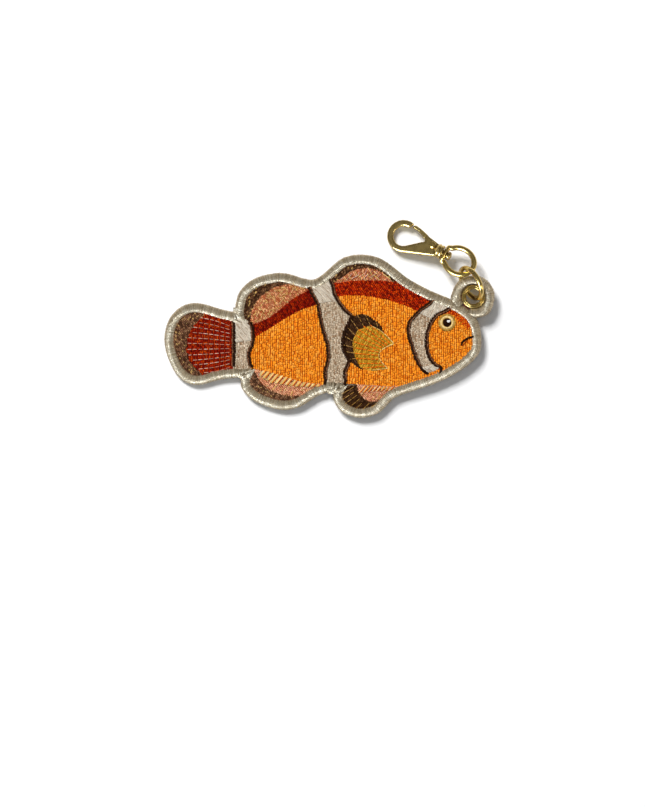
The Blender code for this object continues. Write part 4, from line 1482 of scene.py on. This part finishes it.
    def _eyes(self) -> None:
        """Sews the padded eyes: gold edge, cream ring, dark pupil and its glint."""
        sewing = Sewing(111)
        pupil, outer = self.pupil_radius, self.eye_radius
        self._ring(sewing, outer - 0.70, outer + 0.20, Thread.OLD_GOLD, 70, self.over, 0.10)
        self._ring(sewing, pupil + 0.05, outer - 0.55, Thread.CREAM, 64, self.over + 0.05, 0.20)
        self._ring(sewing, pupil - 0.15, pupil + 0.28, Thread.OLD_GOLD, 40, self.over + 0.14, 0.05)
        disc = circle(self.eye, pupil, np.linspace(0, math.tau, 28))[:-1]
        sewing.fill([disc], Fill(Thread.LINE, 20, 0.3, 0.0, 0.36, 0.16, reach=0.12, dome=0.14),
                    self.over + 0.18)
        for rise, half in ((-0.28, 0.50), (0.0, 0.80), (0.28, 0.66)):
            spot = np.array(self.eye) + np.array((0.62, 0.42 + rise))
            sewing.stitch(tuple(spot - (half, 0.08)), tuple(spot + (half, 0.08)), Thread.WHITE, 0.34, 0.12,
                          self.over + 0.38, 0.03)
        # Painted shade: a darker cream ground under the eye's stitches.
        sewing.ground([self.panels["head"][1]], self.foot, Thread.CREAM)
        self._both("eye_stitches", sewing, "eye")


# ------------------------------------------------------------------ border
# Both edges of each tapering stretch of satin, from the border to its tip.
NOTCH_SATINS = (
    ([(-33.4, -11.0), (-28.5, -10.9), (-24.8, -11.1)],
     [(-32.2, -14.5), (-30.2, -14.4), (-28.0, -13.1), (-24.8, -11.6)]),
    ([(-30.5, -15.4), (-30.4, -13.7), (-28.4, -12.3), (-25.0, -11.3)],
     [(-26.9, -17.4), (-26.7, -15.4), (-25.9, -13.6), (-24.8, -11.7)]),
    ([(2.2, -17.2), (5.8, -17.0), (9.8, -17.0)],
     [(3.4, -20.8), (5.3, -20.8), (6.6, -19.6), (8.4, -18.4), (9.9, -17.4)]),
    ([(5.2, -21.8), (5.1, -20.2), (6.3, -18.8), (8.1, -17.7), (10.6, -17.1)],
     [(8.4, -23.8), (8.7, -21.6), (9.5, -19.5), (10.9, -17.5)]),
    ([(-33.2, 12.4), (-33.2, 10.4), (-31.3, 8.0), (-27.4, 6.5)],
     [(-29.0, 12.1), (-28.9, 9.1), (-28.2, 7.3), (-26.9, 6.8)]),
    ([(-34.4, 10.4), (-33.4, 10.2), (-31.4, 7.9), (-27.2, 6.4)],
     [(-34.5, 7.2), (-33.2, 6.9), (-31.0, 6.2), (-27.0, 6.2)]),
)
# Where the tab widens to meet the fish: direction and spread in degrees, and how far, in millimetres.
TAB_SHOULDERS = ((-50.0, 20.0, 0.65), (190.0, 16.0, 0.7))


@dataclass
class SatinBorder:
    """The raised satin border round the fish, and the tab's border round the eyelet.

    Attributes:
        plane: the charm's plane.
        finish: the thread material.
        width: of the border.
        thickness: of the charm at its border.
        thread: height of the thread round the border's core.
        pitch: distance between stitches.
        stations: corners along a stitch.
        sides: corners of the core's section.
        roundness: power that squares the section a little.
        reach: how far round the core a stitch goes, to each side of its outermost point, in degrees.
        eyelet: the tab's middle.
        tab_radius: of the tab.
        tab_hole: radius that the tab's stitches run in to.
        strips: rows that the stitches' flat map is laid out in.
        made: the pieces made so far.
    """

    plane: CharmPlane
    finish: bpy.types.Material
    width: float = 4.1
    thickness: float = 3.0
    thread: float = 0.10
    pitch: float = 0.27
    stations: int = 19
    sides: int = 12
    roundness: float = 0.95
    reach: float = 155.0
    eyelet: Point = (58.8, 16.6)
    tab_radius: float = 8.2
    tab_hole: float = 4.25
    strips: int = 8
    made: list[bpy.types.Object] = field(default_factory=list)

    def build(self) -> None:
        """Sews both borders."""
        edge = rims(self.plane, "border", self.thickness * BORDER_SHOULDER)[0]
        outline = resampled(edge if area(edge) > 0 else edge[::-1], self.pitch, closed=True)
        self._border("border", outline, np.full(len(outline), self.width), 201, None)
        angles = np.arange(0, math.tau, self.pitch / self.tab_radius)
        radii = np.full(len(angles), self.tab_radius)
        for heading, spread, extra in TAB_SHOULDERS:
            away = (np.degrees(angles) - heading + 180) % 360 - 180
            radii += extra * np.exp(-(away / spread) ** 2)
        self._border("border_tab", circle(self.eyelet, radii, angles), radii - self.tab_hole, 202,
                     outline - inward(outline) * 0.22)
        self._notches()

    def _notches(self) -> None:
        """Sews the tapering satin where two stretches of border meet and run on into the fish."""
        sewing = Sewing(203)
        for first, second in NOTCH_SATINS:
            # Painted shade: a dark silver ground under the tapering satin.
            sewing.ground([np.array([*first, *second[::-1]])], self.thickness - 0.75, Thread.SILVER)
            sewing.ruled(first, second, Thread.SILVER, self.thickness - 0.70, 0.62)
        for side in Side:
            piece = sewing.mesh(f"notch_satin_{side.value}", self.plane, side, self.thickness)
            piece.data.materials.append(self.finish)
            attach(piece, "charm")
            self.made.append(piece)

    def _section(self, turn: np.ndarray, swell: np.ndarray | float,
                 width: np.ndarray | float) -> tuple[np.ndarray, np.ndarray]:
        """Points round the border's section.

        Args:
            turn: angles in radians from the outermost point, up to the front.
            swell: how far the points are moved out of the core, in millimetres.
            width: of the border there.

        Returns:
            Distance in from the outline, and height over the charm's back.
        """
        half, rise = width / 2 - self.thread, self.thickness / 2 - self.thread
        across = -np.sign(np.cos(turn)) * np.abs(np.cos(turn)) ** self.roundness * (half + swell)
        up = np.sign(np.sin(turn)) * np.abs(np.sin(turn)) ** self.roundness * (rise + swell)
        return across + width / 2, up + self.thickness / 2

    def _border(self, name: str, loop: Loop, widths: np.ndarray, seed: int, keep_out: Loop | None) -> None:
        """Sews stitches round a core along a loop.

        Args:
            name: of the CAD node this stands for.
            loop: the border's outer edge, one point for each stitch.
            widths: of the border at each stitch.
            seed: of the random variation.
            keep_out: a loop that stitches stay out of, if any.
        """
        rng = np.random.default_rng(seed)
        normals = inward(loop)
        middle = loop + normals * widths[:, None] / 2
        spacing = np.linalg.norm(np.roll(middle, -1, axis=0) - np.roll(middle, 1, axis=0), axis=1) / 2
        work = Needlework()
        for k, (point, normal) in enumerate(zip(loop, normals)):
            self._stitch(work, rng, point, normal, widths[k], spacing[k], (k, len(loop)), keep_out)
        self._core(work, loop, normals, widths, keep_out)
        piece = work.piece(f"{name}_stitches", self.plane)
        piece.data.materials.append(self.finish)
        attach(piece, "charm")
        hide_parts(name)
        self.made.append(piece)
        log.info("%s: %d faces", name, len(piece.data.polygons))

    def _stitch(self, work: Needlework, rng: np.random.Generator, point: np.ndarray, normal: np.ndarray,
                breadth: float, spacing: float, rank: tuple[int, int], keep_out: Loop | None) -> None:
        """Sews one stitch round the core.

        Args:
            work: where it goes.
            rng: the source of variation.
            point: where it crosses the border's outer edge.
            normal: the direction into the border there.
            breadth: the border's width there.
            spacing: distance to its neighbours, in the middle of the border.
            rank: its number along the loop, and how many there are.
            keep_out: a loop it stays out of, if any.
        """
        stations, spread, crown = self.stations, Sewing.SPREAD, Sewing.CROWN
        yarn = Thread.SILVER.value
        reach = math.radians(self.reach + rng.normal(0, 4.5))
        turn = np.linspace(-reach, reach, stations)
        sway = rng.normal(0, 0.03) + rng.normal(0, 0.05) * np.linspace(-1, 1, stations)
        if keep_out is not None:
            into, _ = self._section(turn, self.thread, breadth)
            free = np.flatnonzero(~inside(point + normal * into[:, None], keep_out))
            if len(free) < 6:
                return
            turn = np.linspace(turn[free[0]], turn[free[-1]], stations)
        ends = np.minimum(1, np.minimum(np.arange(stations), np.arange(stations)[::-1]) / 1.6 + 0.25)
        width = (spacing + self.pitch) / 2 * 1.22 * (0.7 + 0.3 * ends)
        uneven = np.maximum(0.3, 1 + 0.55 * rng.normal(size=stations))
        height = self.thread * rng.uniform(0.75, 1.25) * ends * uneven
        swell = height[:, None] * crown[None, :] + 0.015 * rng.normal() * ends[:, None] * spread[None, :]
        across, up = self._section(turn[:, None], swell, breadth)
        aside = spread[None, :] * width[:, None] / 2 + sway[:, None]
        flat = point + normal * across[..., None] + np.array((normal[1], -normal[0])) * aside[..., None]
        length = np.cumsum(np.full(stations, 9.2 / stations)) + rng.random()
        # Painted shade: each border stitch is darker along its sides and towards its ends, where it goes into the
        # cloth.
        dark = (0.66 + 0.34 * crown[None, :] ** 0.6) * (0.55 + 0.45 * ends[:, None])
        tone = yarn.picked(rng)[None, None, :] * dark[..., None]
        place, step = rank[0] / rank[1] * self.strips, self.strips / rank[1]
        u = place - int(place) + step * (0.5 + 0.5 * spread)
        v = (int(place) + 0.04 + 0.92 * np.linspace(0, 1, stations)) / (self.strips + 1)
        grid = np.arange(flat[..., 0].size).reshape(flat.shape[:2])
        faces = np.stack([grid[:-1, :-1], grid[:-1, 1:], grid[1:, 1:], grid[1:, :-1]], 2)
        work.add(raised(flat, up).reshape(-1, 3), faces.reshape(-1, 4),
                 paired((spread + 1) / 2, length[:, None]), tone.reshape(-1, 3), paired(u, v[:, None]))

    def _core(self, work: Needlework, loop: Loop, normals: np.ndarray, widths: np.ndarray,
              keep_out: Loop | None) -> None:
        """Adds the padding that the stitches go round.

        Args:
            work: where it goes.
            loop: the border's outer edge.
            normals: the directions into it.
            widths: of the border at each point.
            keep_out: a loop the padding stays out of, if any.
        """
        turn = np.linspace(0, math.tau, self.sides, endpoint=False)
        into, up = self._section(turn[None, :], -0.02, widths[:, None])
        flat = loop[:, None, :] + normals[:, None, :] * into[..., None]
        corners = raised(flat, up).reshape(-1, 3)
        grid = np.arange(len(corners)).reshape(flat.shape[:2])
        ahead, around = np.roll(grid, -1, axis=0), np.roll(grid, -1, axis=1)
        faces = np.stack([grid, around, np.roll(ahead, -1, axis=1), ahead], 2)
        if keep_out is not None:
            blocked = inside(flat, keep_out).any(axis=1)
            faces = faces[~(blocked | np.roll(blocked, -1))]
        v = (self.strips + 0.1 + 0.8 * np.linspace(0, 1, self.sides)) / (self.strips + 1)
        # Painted shade: the padding takes the silver thread's dark ground colour, seen between the border's
        # stitches.
        work.add(corners, faces.reshape(-1, 4), np.zeros((len(corners), 2)),
                 np.tile(Thread.SILVER.value.ground, (len(corners), 1)),
                 paired(np.linspace(0, 1, len(loop))[:, None], v))


# ------------------------------------------------------------------ cloth
@dataclass
class GroundCloth:
    """The woven cloth in the middle of the charm, and the ring of it in the tab.

    Attributes:
        plane: the charm's plane.
        low: height of the cloth's back over the charm's back.
        high: height of its front.
        tab_inner: inner radius of the tab's cloth.
        tab_outer: its outer radius.
        eyelet: the tab's middle.
    """

    plane: CharmPlane
    low: float = 0.9
    high: float = 2.1
    tab_inner: float = 3.4
    tab_outer: float = 5.2
    eyelet: Point = (58.8, 16.6)

    def build(self, sewn: list[bpy.types.Object]) -> None:
        """Cuts both cloths.

        Args:
            sewn: the stitched pieces; not used.
        """
        edge = rims(self.plane, "core_cloth", self.high)[0]
        cloth = self._slab("core_cloth_woven", [rounded_panel(edge, 1.2)], "core_cloth")
        cloth.data.materials.append(WovenFinish().material())
        turns = np.linspace(0, math.tau, 64, endpoint=False)
        rings = [circle(self.eyelet, radius, turns) for radius in (self.tab_outer, self.tab_inner)]
        tab = self._slab("tab_cloth_woven", rings, "tab_cloth")
        rust = WovenFinish("rust_cloth", (0.16, 0.035, 0.012), (0.05, 0.012, 0.005))
        tab.data.materials.append(rust.material())
        size = (edge.max(axis=0) - edge.min(axis=0)) * MM
        abs(area(edge)) * MM * MM

    def _slab(self, name: str, loops: list[Loop], node: str) -> bpy.types.Object:
        """A flat cloth with the given edges.

        Args:
            name: the piece's name.
            loops: its edge and any hole in it.
            node: the CAD node it stands for.

        Returns:
            The piece, with no material yet.
        """
        points = np.concatenate(loops)
        triangles = [list(t) for t in tessellate_polygon([[Vector((*p, 0)) for p in loop] for loop in loops])]
        first = points[triangles[0]]
        if np.cross(first[1] - first[0], first[2] - first[0]) < 0:
            triangles = [t[::-1] for t in triangles]
        count = len(points)
        faces = triangles + [[i + count for i in t[::-1]] for t in triangles]
        base = 0
        for loop in loops:
            for i in range(len(loop)):
                a, b = base + i, base + (i + 1) % len(loop)
                faces.append([a, a + count, b + count, b] if area(loop) > 0 and base == 0 else
                             [a, b, b + count, a + count])
            base += len(loop)
        corners = np.concatenate([raised(points, np.array(height)) for height in (self.high, self.low)])
        mesh = bpy.data.meshes.new(name)
        mesh.from_pydata(self.plane.placed(corners).tolist(), [], faces)
        mesh.validate()
        bm = bmesh.new()
        bm.from_mesh(mesh)
        bmesh.ops.recalc_face_normals(bm, faces=bm.faces)
        bm.to_mesh(mesh)
        bm.free()
        piece = linked(name, mesh)
        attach(piece, "charm")
        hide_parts(node)
        return piece


# ------------------------------------------------------------------ brass
WELD = 0.0005  # corners closer than this, in millimetres, are joined
SHARP = math.radians(50)  # turn from which an edge of a brass piece is shaded sharp


def settled(name: str, bm: bmesh.types.BMesh) -> bpy.types.Mesh:
    """A mesh of a shape, with its faces in the same order on every run.

    Args:
        name: the mesh's name.
        bm: the shape; used up.

    Returns:
        The mesh.
    """
    bm.verts.index_update()
    faces = []
    for face in bm.faces:
        ring = [corner.index for corner in face.verts]
        first = ring.index(min(ring))
        faces.append(ring[first:] + ring[:first])
    mesh = bpy.data.meshes.new(name)
    mesh.from_pydata([corner.co for corner in bm.verts], [], sorted(faces))
    bm.free()
    return mesh


def metal_object(name: str, bm: bmesh.types.BMesh, placement: Matrix, body: str, node: str | None,
                 finish: bpy.types.Material) -> None:
    """Finishes a brass piece.

    Args:
        name: the piece's name.
        bm: its shape in its own frame, in millimetres; used up.
        placement: its own frame, in metres.
        body: the body it rides on.
        node: the CAD node it stands for, if any.
        finish: its material.
    """
    bmesh.ops.remove_doubles(bm, verts=bm.verts, dist=WELD)
    bmesh.ops.recalc_face_normals(bm, faces=bm.faces)
    if bm.calc_volume(signed=True) < 0:
        bmesh.ops.reverse_faces(bm, faces=bm.faces)
    mesh = settled(name, bm)
    mesh.transform(placement @ Matrix.Scale(MM, 4))
    mesh.shade_smooth()
    mesh.set_sharp_from_angle(angle=SHARP)
    mesh.materials.append(finish)
    piece = linked(name, mesh)
    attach(piece, body)
    if node:
        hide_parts(node)
    log.info("%s: %d faces", name, len(mesh.polygons))


def lathe(profile: list[Point], steps: int, axis: str = "Z", rounding: float = 0.0) -> bmesh.types.BMesh:
    """Turns a profile.

    Args:
        profile: (radius, height) corners.
        steps: round the axis.
        axis: X or Z.
        rounding: radius that the profile's corners are softened to.

    Returns:
        The turned shape.
    """
    line = [np.array(p, float) for p in profile]
    closed = profile[0][0] > 0
    soft = []
    for i, corner in enumerate(line):
        at_end = (not closed) and i in (0, len(line) - 1)
        if at_end or rounding <= 0:
            soft.append(corner)
            continue
        arms = [line[i - 1] - corner, line[(i + 1) % len(line)] - corner]
        lengths = [max(np.linalg.norm(arm), 1e-9) for arm in arms]
        trim = min(rounding, 0.45 * lengths[0], 0.45 * lengths[1])
        start, end = (corner + arm / length * trim for arm, length in zip(arms, lengths))
        for t in (0.0, 0.33, 0.67, 1.0):
            soft.append((1 - t) ** 2 * start + 2 * t * (1 - t) * corner + t * t * end)
    bm = bmesh.new()
    turn = Matrix.Rotation(math.pi / 2, 3, "Y") if axis == "X" else Matrix.Identity(3)
    verts = [bm.verts.new(turn @ Vector((p[0], 0, p[1]))) for p in soft]
    pairs = list(zip(verts, verts[1:])) + ([(verts[-1], verts[0])] if closed else [])
    edges = [bm.edges.new(pair) for pair in pairs]
    bmesh.ops.spin(bm, geom=verts + edges, cent=(0, 0, 0), axis=turn @ Vector((0, 0, 1)),
                   angle=math.tau, steps=steps, use_merge=True)
    return bm


def tube(centres: list[Vector], frames: list[tuple[Vector, Vector]], sizes: list[Point],
         sides: int, closed: bool) -> bmesh.types.BMesh:
    """Sweeps an oval section along a line.

    Args:
        centres: the line's points.
        frames: two directions across the line at each point.
        sizes: half sizes of the section along those directions.
        sides: corners of the section.
        closed: whether the end joins the start.

    Returns:
        The swept shape.
    """
    bm = bmesh.new()
    loops = []
    for centre, (first, second), (a, b) in zip(centres, frames, sizes):
        turns = [math.tau * k / sides for k in range(sides)]
        loops.append([bm.verts.new(centre + first * a * math.cos(t) + second * b * math.sin(t))
                      for t in turns])
    pairs = list(zip(loops, loops[1:])) + ([(loops[-1], loops[0])] if closed else [])
    for ring, following in pairs:
        for i in range(sides):
            j = (i + 1) % sides
            bm.faces.new((ring[i], ring[j], following[j], following[i]))
    if not closed:
        bm.faces.new(loops[0][::-1])
        bm.faces.new(loops[-1])
    return bm


@dataclass
class Eyelet:
    """The brass eyelet: a rolled, stepped flange with its barrel in front, and a washer behind.

    Attributes:
        plane: the charm's plane.
        finish: its material.
        place: its middle in the plane.
        hole: radius of the hole.
        barrel: radius of the barrel.
        rim: radius of the flange.
        middle: half the charm's thickness.
        crown: height of the flange over the middle.
        steps: round the axis.
    """

    plane: CharmPlane
    finish: bpy.types.Material
    place: Point = (58.8, 16.6)
    hole: float = 2.85
    barrel: float = 3.2
    rim: float = 4.5
    middle: float = 1.5
    crown: float = 1.75
    steps: int = 96

    def build(self) -> None:
        """Turns both halves."""
        under = 0.8
        hole, rim, crown = self.hole, self.rim, self.crown
        front = [(hole, -under), (self.barrel, -under), (self.barrel, under), (rim - 0.15, under),
                 (rim, under + 0.2), (rim, crown - 0.32), (rim - 0.3, crown), (rim - 0.62, crown),
                 (rim - 0.78, crown - 0.2), (rim - 0.9, crown - 0.2), (rim - 1.02, crown - 0.04),
                 (hole + 0.3, crown - 0.1), (hole + 0.02, crown - 0.5), (hole, crown - 1.0)]
        back = [(hole, -under - 0.2), (hole + 0.1, 0.5 - crown), (hole + 0.45, 0.1 - crown),
                (rim - 0.75, -crown), (rim - 0.25, 0.3 - crown), (rim, -under - 0.3), (rim - 0.15, -under),
                (self.barrel + 0.2, -under), (self.barrel + 0.1, -under - 0.2)]
        corner = self.plane.placed(np.array((*self.place, self.middle)))
        axes = Matrix(self.plane.turn.tolist()).transposed().to_4x4()
        placement = Matrix.Translation(corner.tolist()) @ axes
        for name, profile in (("eyelet_front", front), ("eyelet_back", back)):
            bm = lathe(profile, self.steps, rounding=0.14)
            metal_object(f"{name}_turned", bm, placement, "charm", name, self.finish)


@dataclass
class JumpRing:
    """The round jump ring through the eyelet, with its butted ends.

    Attributes:
        finish: its material.
        radius: of its wire's centre line.
        wire: half the wire's thickness.
        joint: half the gap between its ends, in degrees.
        joint_at: where the gap is, in degrees up from the ring's level axis.
        chamfer: how far the ends are filed down, as a share of the wire.
        steps: along the wire.
        sides: of the wire's section.
    """

    finish: bpy.types.Material
    radius: float = 6.3
    wire: float = 1.0
    joint: float = 0.5
    joint_at: float = -62.0
    chamfer: float = 0.06
    steps: int = 180
    sides: int = 32

    def build(self) -> None:
        """Bends the ring."""
        node = frame["nodes"]["jump_ring"]
        corners = np.array([node.matrix_world @ v.co for v in node.data.vertices])
        centre = corners.mean(axis=0)
        _, directions = np.linalg.eigh(np.cov((corners - centre).T))
        normal = Vector(directions[:, 0].tolist()).normalized()
        level = Vector(next(j for j in frame["joints"] if j["name"] == "ring_tilt")["axis"]).normalized()
        up = normal.cross(level).normalized()
        if up.z < 0:
            up = -up
        turn = Matrix((level, up, level.cross(up))).transposed().to_4x4()
        placement = Matrix.Translation(centre.tolist()) @ turn
        low, gap = math.radians(self.joint_at), math.radians(self.joint)
        centres, frames, sizes = [], [], []
        for i in range(self.steps + 1):
            a = low + gap + (math.tau - 2 * gap) * i / self.steps
            out = Vector((math.cos(a), math.sin(a), 0))
            centres.append(out * self.radius)
            frames.append((out, Vector((0, 0, 1))))
            half = self.wire * (1 - self.chamfer if i in (0, self.steps) else 1.0)
            sizes.append((half, half))
        metal_object("jump_ring_wire", tube(centres, frames, sizes, self.sides, False), placement, "ring",
                     "jump_ring", self.finish)


@dataclass
class SnapHook:
    """The swivel bow and the snap hook on it.

    The hook's frame has its x along the swivel towards the bow and its z along the gate's pin.

    Attributes:
        finish: the polished material.
        worn: the material of the cast body.
        bow_wire: half the bow wire's thickness.
        bow_half: half the length and half the width of the bow's oval.
        bar_half: half the length of the bow's flattened bar.
        bar_section: half the bar's thickness and half its height at the middle.
        post_radius: of the swivel post.
        collar_radius: of the collar.
        pivot: where the gate's pin is, along and across the hook.
        thickness: of the hook's body.
        placement: the hook's frame in metres, found from the joints.
    """

    finish: bpy.types.Material
    worn: bpy.types.Material
    bow_wire: float = 1.05
    bow_half: Point = (6.0, 5.0)
    bar_half: float = 3.3
    bar_section: Point = (0.9, 2.2)
    post_radius: float = 1.1
    collar_radius: float = 2.75
    pivot: Point = (5.75, 0.9)
    thickness: float = 2.6
    placement: Matrix = field(init=False)

    def __post_init__(self) -> None:
        """Finds the hook's frame."""
        joints = {j["name"]: j for j in frame["joints"]}
        along = Vector(joints["hook_swivel"]["axis"]).normalized()
        pin = Vector(joints["gate_open"]["axis"]).normalized()
        across = pin.cross(along).normalized()
        turn = Matrix((along, across, along.cross(across))).transposed().to_4x4()
        self.placement = Matrix.Translation(Vector(joints["hook_swivel"]["pos_m"])) @ turn

    def build(self) -> None:
        """Makes the bow, post, hook, gate and pin."""
        self._bow()
        self._post()
        self._softened("hook_body", "hook_body_cast", "hook", 0.00011, 6)
        self._collar()
        self._softened("gate", "gate_bar", "gate", 0.00008, 2)
        self._pin()

    def _bow(self) -> None:
        """Bends the bow: round wire, flattened to a bar at the hook's side."""
        wire, (half_bar, tall) = self.bow_wire, self.bar_section
        centres, sizes = [], []
        bars, turns, softening, sides = 28, 110, 3, 28
        for i in range(bars + 1):
            y = self.bar_half * (2 * i / bars - 1)
            middle = 1 - min(1.0, abs(y) / self.bar_half) ** 3
            centres.append(Vector((0, y, 0)))
            sizes.append((half_bar, wire + (tall - wire) * middle))
        start = math.acos(-0.80)
        for i in range(turns + 1):
            a = start - 2 * start * i / turns
            centres.append(Vector((self.bow_half[0] * (1 + math.cos(a)), self.bow_half[1] * math.sin(a), 0)))
            sizes.append((wire, wire))
        smooth = centres
        for _ in range(softening):
            smooth = [(smooth[i - 1] + 2 * c + smooth[(i + 1) % len(smooth)]) / 4
                      for i, c in enumerate(smooth)]
        frames = []
        for i in range(len(smooth)):
            along = (smooth[(i + 1) % len(smooth)] - smooth[i - 1]).normalized()
            frames.append((Vector((along.y, -along.x, 0)), Vector((0, 0, 1))))
        metal_object("swivel_bow_wire", tube(smooth, frames, sizes, sides, True), self.placement, "bow",
                     "swivel_bow", self.finish)

    def _softened(self, node: str, name: str, body: str, voxel: float, passes: int) -> None:
        """A cast piece: the CAD node with its edges worn round.

        Args:
            node: the CAD node.
            name: the piece's name.
            body: the body it rides on.
            voxel: size of the new faces in metres.
            passes: of smoothing.
        """
        source = frame["nodes"][node]
        mesh = source.data.copy()
        mesh.transform(source.matrix_world)
        mesh.materials.clear()
        mesh.materials.append(self.worn)
        piece = linked(name, mesh)
        remesh = piece.modifiers.new("even", "REMESH")
        remesh.mode = "VOXEL"
        remesh.voxel_size = voxel
        remesh.use_smooth_shade = True
        soften = piece.modifiers.new("worn", "SMOOTH")
        soften.factor = 0.5
        soften.iterations = passes
        bake_modifiers(piece)
        if not piece.data.materials:
            piece.data.materials.append(self.worn)
        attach(piece, body)
        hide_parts(node)
        log.info("%s: %d faces", name, len(piece.data.polygons))

    def _collar(self) -> None:
        """Turns the hook's stepped collar."""
        r = self.collar_radius
        profile = [(0, -4.4), (r * 0.62, -4.4), (r * 0.98, -3.25), (r, -3.1), (r, -2.6), (r - 0.4, -2.45),
                   (r - 0.4, -2.2), (r, -2.05), (r, -1.35), (r - 0.25, -1.15), (1.5, -1.15), (1.4, -1.6),
                   (0, -1.6)]
        metal_object("hook_collar", lathe(profile, 72, "X", 0.12), self.placement, "hook", None, self.worn)

    def _post(self) -> None:
        """Turns the swivel post with its peened head inside the bow."""
        r, face = self.post_radius, self.bar_section[0] + 0.25
        profile = [(0, -1.6), (r, -1.6), (r, face), (1.7, face), (1.75, face + 0.55), (1.45, face + 1.05),
                   (0.8, face + 1.32), (0, face + 1.4)]
        metal_object("swivel_post_peened", lathe(profile, 56, "X", 0.18), self.placement, "hook",
                     "swivel_post", self.worn)

    def _pin(self) -> None:
        """Turns the gate's pin with a dome on each side."""
        face, r = self.thickness / 2 + 0.05, 1.32
        dome = [(0.5, face), (r, face), (r, face + 0.14), (r * 0.9, face + 0.36), (r * 0.62, face + 0.56),
                (r * 0.3, face + 0.66), (0, face + 0.69)]
        profile = [(radius, -h) for radius, h in reversed(dome)] + dome
        shift = Matrix.Translation(Vector((-self.pivot[0], self.pivot[1], 0)) * MM)
        metal_object("gate_pin_domed", lathe(profile, 48, "Z", 0.08), self.placement @ shift, "hook",
                     "gate_pin", self.finish)


def bake_modifiers(thing: bpy.types.Object) -> None:
    """Replaces an object's mesh with what its modifiers make of it.

    Args:
        thing: the object.
    """
    bpy.context.view_layer.update()
    done = bpy.data.meshes.new_from_object(thing.evaluated_get(bpy.context.evaluated_depsgraph_get()))
    thing.modifiers.clear()
    old, thing.data = thing.data, done
    bpy.data.meshes.remove(old)


# ------------------------------------------------------------------ studio
class Shine(Enum):
    """What a light shows up: the colours or the gloss."""

    MATT = "matt"
    GLOSS = "gloss"


@dataclass(frozen=True)
class Lamp:
    """A square soft light that faces the charm.

    Attributes:
        name: of the light.
        place: where it hangs, in metres.
        size: its side in metres.
        power: in watts.
        shine: what it lights.
        colour: of its light.
    """

    name: str
    place: Place
    size: float
    power: float
    shine: Shine
    colour: Colour = (1.0, 1.0, 1.0)

    def hang(self) -> None:
        """Adds the light to the scene."""
        lamp = bpy.data.lights.new(self.name, "AREA")
        lamp.color = self.colour
        lamp.size = self.size
        lamp.energy = self.power
        thing = linked(self.name, lamp)
        thing.location = self.place
        thing.rotation_euler = (-Vector(self.place)).to_track_quat("-Z", "Y").to_euler()
        thing.visible_camera = False
        thing.visible_glossy = self.shine is not Shine.MATT
        thing.visible_diffuse = self.shine is not Shine.GLOSS


LAMPS = (
    Lamp("key", (-1.26, 2.10, 2.40), 1.20, 162.0, Shine.MATT),
    Lamp("key_glint", (-1.26, 2.10, 2.40), 0.75, 9.0, Shine.GLOSS),
    Lamp("window_glint", (-0.55, -0.86, 0.74), 0.70, 30.0, Shine.GLOSS, (0.80, 0.96, 1.20)),
    Lamp("side_glint", (0.90, -0.60, 0.60), 0.4, 4.8, Shine.GLOSS),
    Lamp("top_glint", (0.15, 0.10, 1.60), 1.4, 0.8, Shine.GLOSS),
    Lamp("overhead", (0.1, -0.1, 1.3), 0.8, 1.0, Shine.MATT),
)


@dataclass
class Studio:
    """Floor, lights, surroundings and camera.

    Attributes:
        target: where the camera looks, in metres.
        distance: of the camera over the floor.
        lens: focal length in millimetres.
        film: width of the camera's film in millimetres.
        near: how close the camera sees.
        far: how far it sees.
        half_floor: half the floor's side.
        world: strength of the even light all round.
    """

    target: Point = (-0.0026, -0.0325)
    distance: float = 1.0
    lens: float = 115.9
    film: float = 36.0
    near: float = 0.01
    far: float = 20.0
    half_floor: float = 1.5
    world: float = 0.18

    def build(self) -> None:
        """Sets up the studio."""
        self._floor()
        for lamp in LAMPS:
            lamp.hang()
        surroundings = bpy.data.worlds.new("studio")
        surroundings.use_nodes = True
        background = surroundings.node_tree.nodes["Background"]
        background.inputs["Color"].default_value = (1.0, 1.0, 1.0, 1.0)
        background.inputs["Strength"].default_value = self.world
        scene = bpy.context.scene
        scene.world = surroundings
        scene.view_settings.view_transform = "Standard"
        lens = bpy.data.cameras.new("camera")
        lens.lens = self.lens
        lens.sensor_width = self.film
        lens.clip_start, lens.clip_end = self.near, self.far
        scene.camera = linked("camera", lens)
        scene.camera.location = (*self.target, self.distance)

    def _floor(self) -> None:
        """Lays the white floor."""
        side = self.half_floor
        corners = [(-side, -side, 0), (side, -side, 0), (side, side, 0), (-side, side, 0)]
        mesh = bpy.data.meshes.new("floor")
        mesh.from_pydata(corners, [], [(0, 1, 2, 3)])
        mesh.materials.append(FloorFinish().material())
        floor = linked("floor", mesh)


def main() -> None:
    """Builds the charm, its hardware and the studio."""
    logging.basicConfig(level=logging.INFO, format="%(message)s")
    plane = CharmPlane.found()
    thread = ThreadFinish().material()
    silk = ThreadFinish("silver_thread", 0.40, 0.5, 0.70, mottle=2.2, patches=2500.0).material()
    embroidery = Embroidery(plane, thread)
    embroidery.build()
    border = SatinBorder(plane, silk)
    border.build()
    GroundCloth(plane).build([*embroidery.made, *border.made])
    bright = BrassFinish("polished_brass").material()
    worn = BrassFinish("antique_brass", (0.60, 0.43, 0.15), (0.13, 0.08, 0.022), 0.17).material()
    Eyelet(plane, bright).build()
    JumpRing(bright).build()
    SnapHook(bright, worn).build()
    Studio().build()


if __name__ == "__main__":
    main()
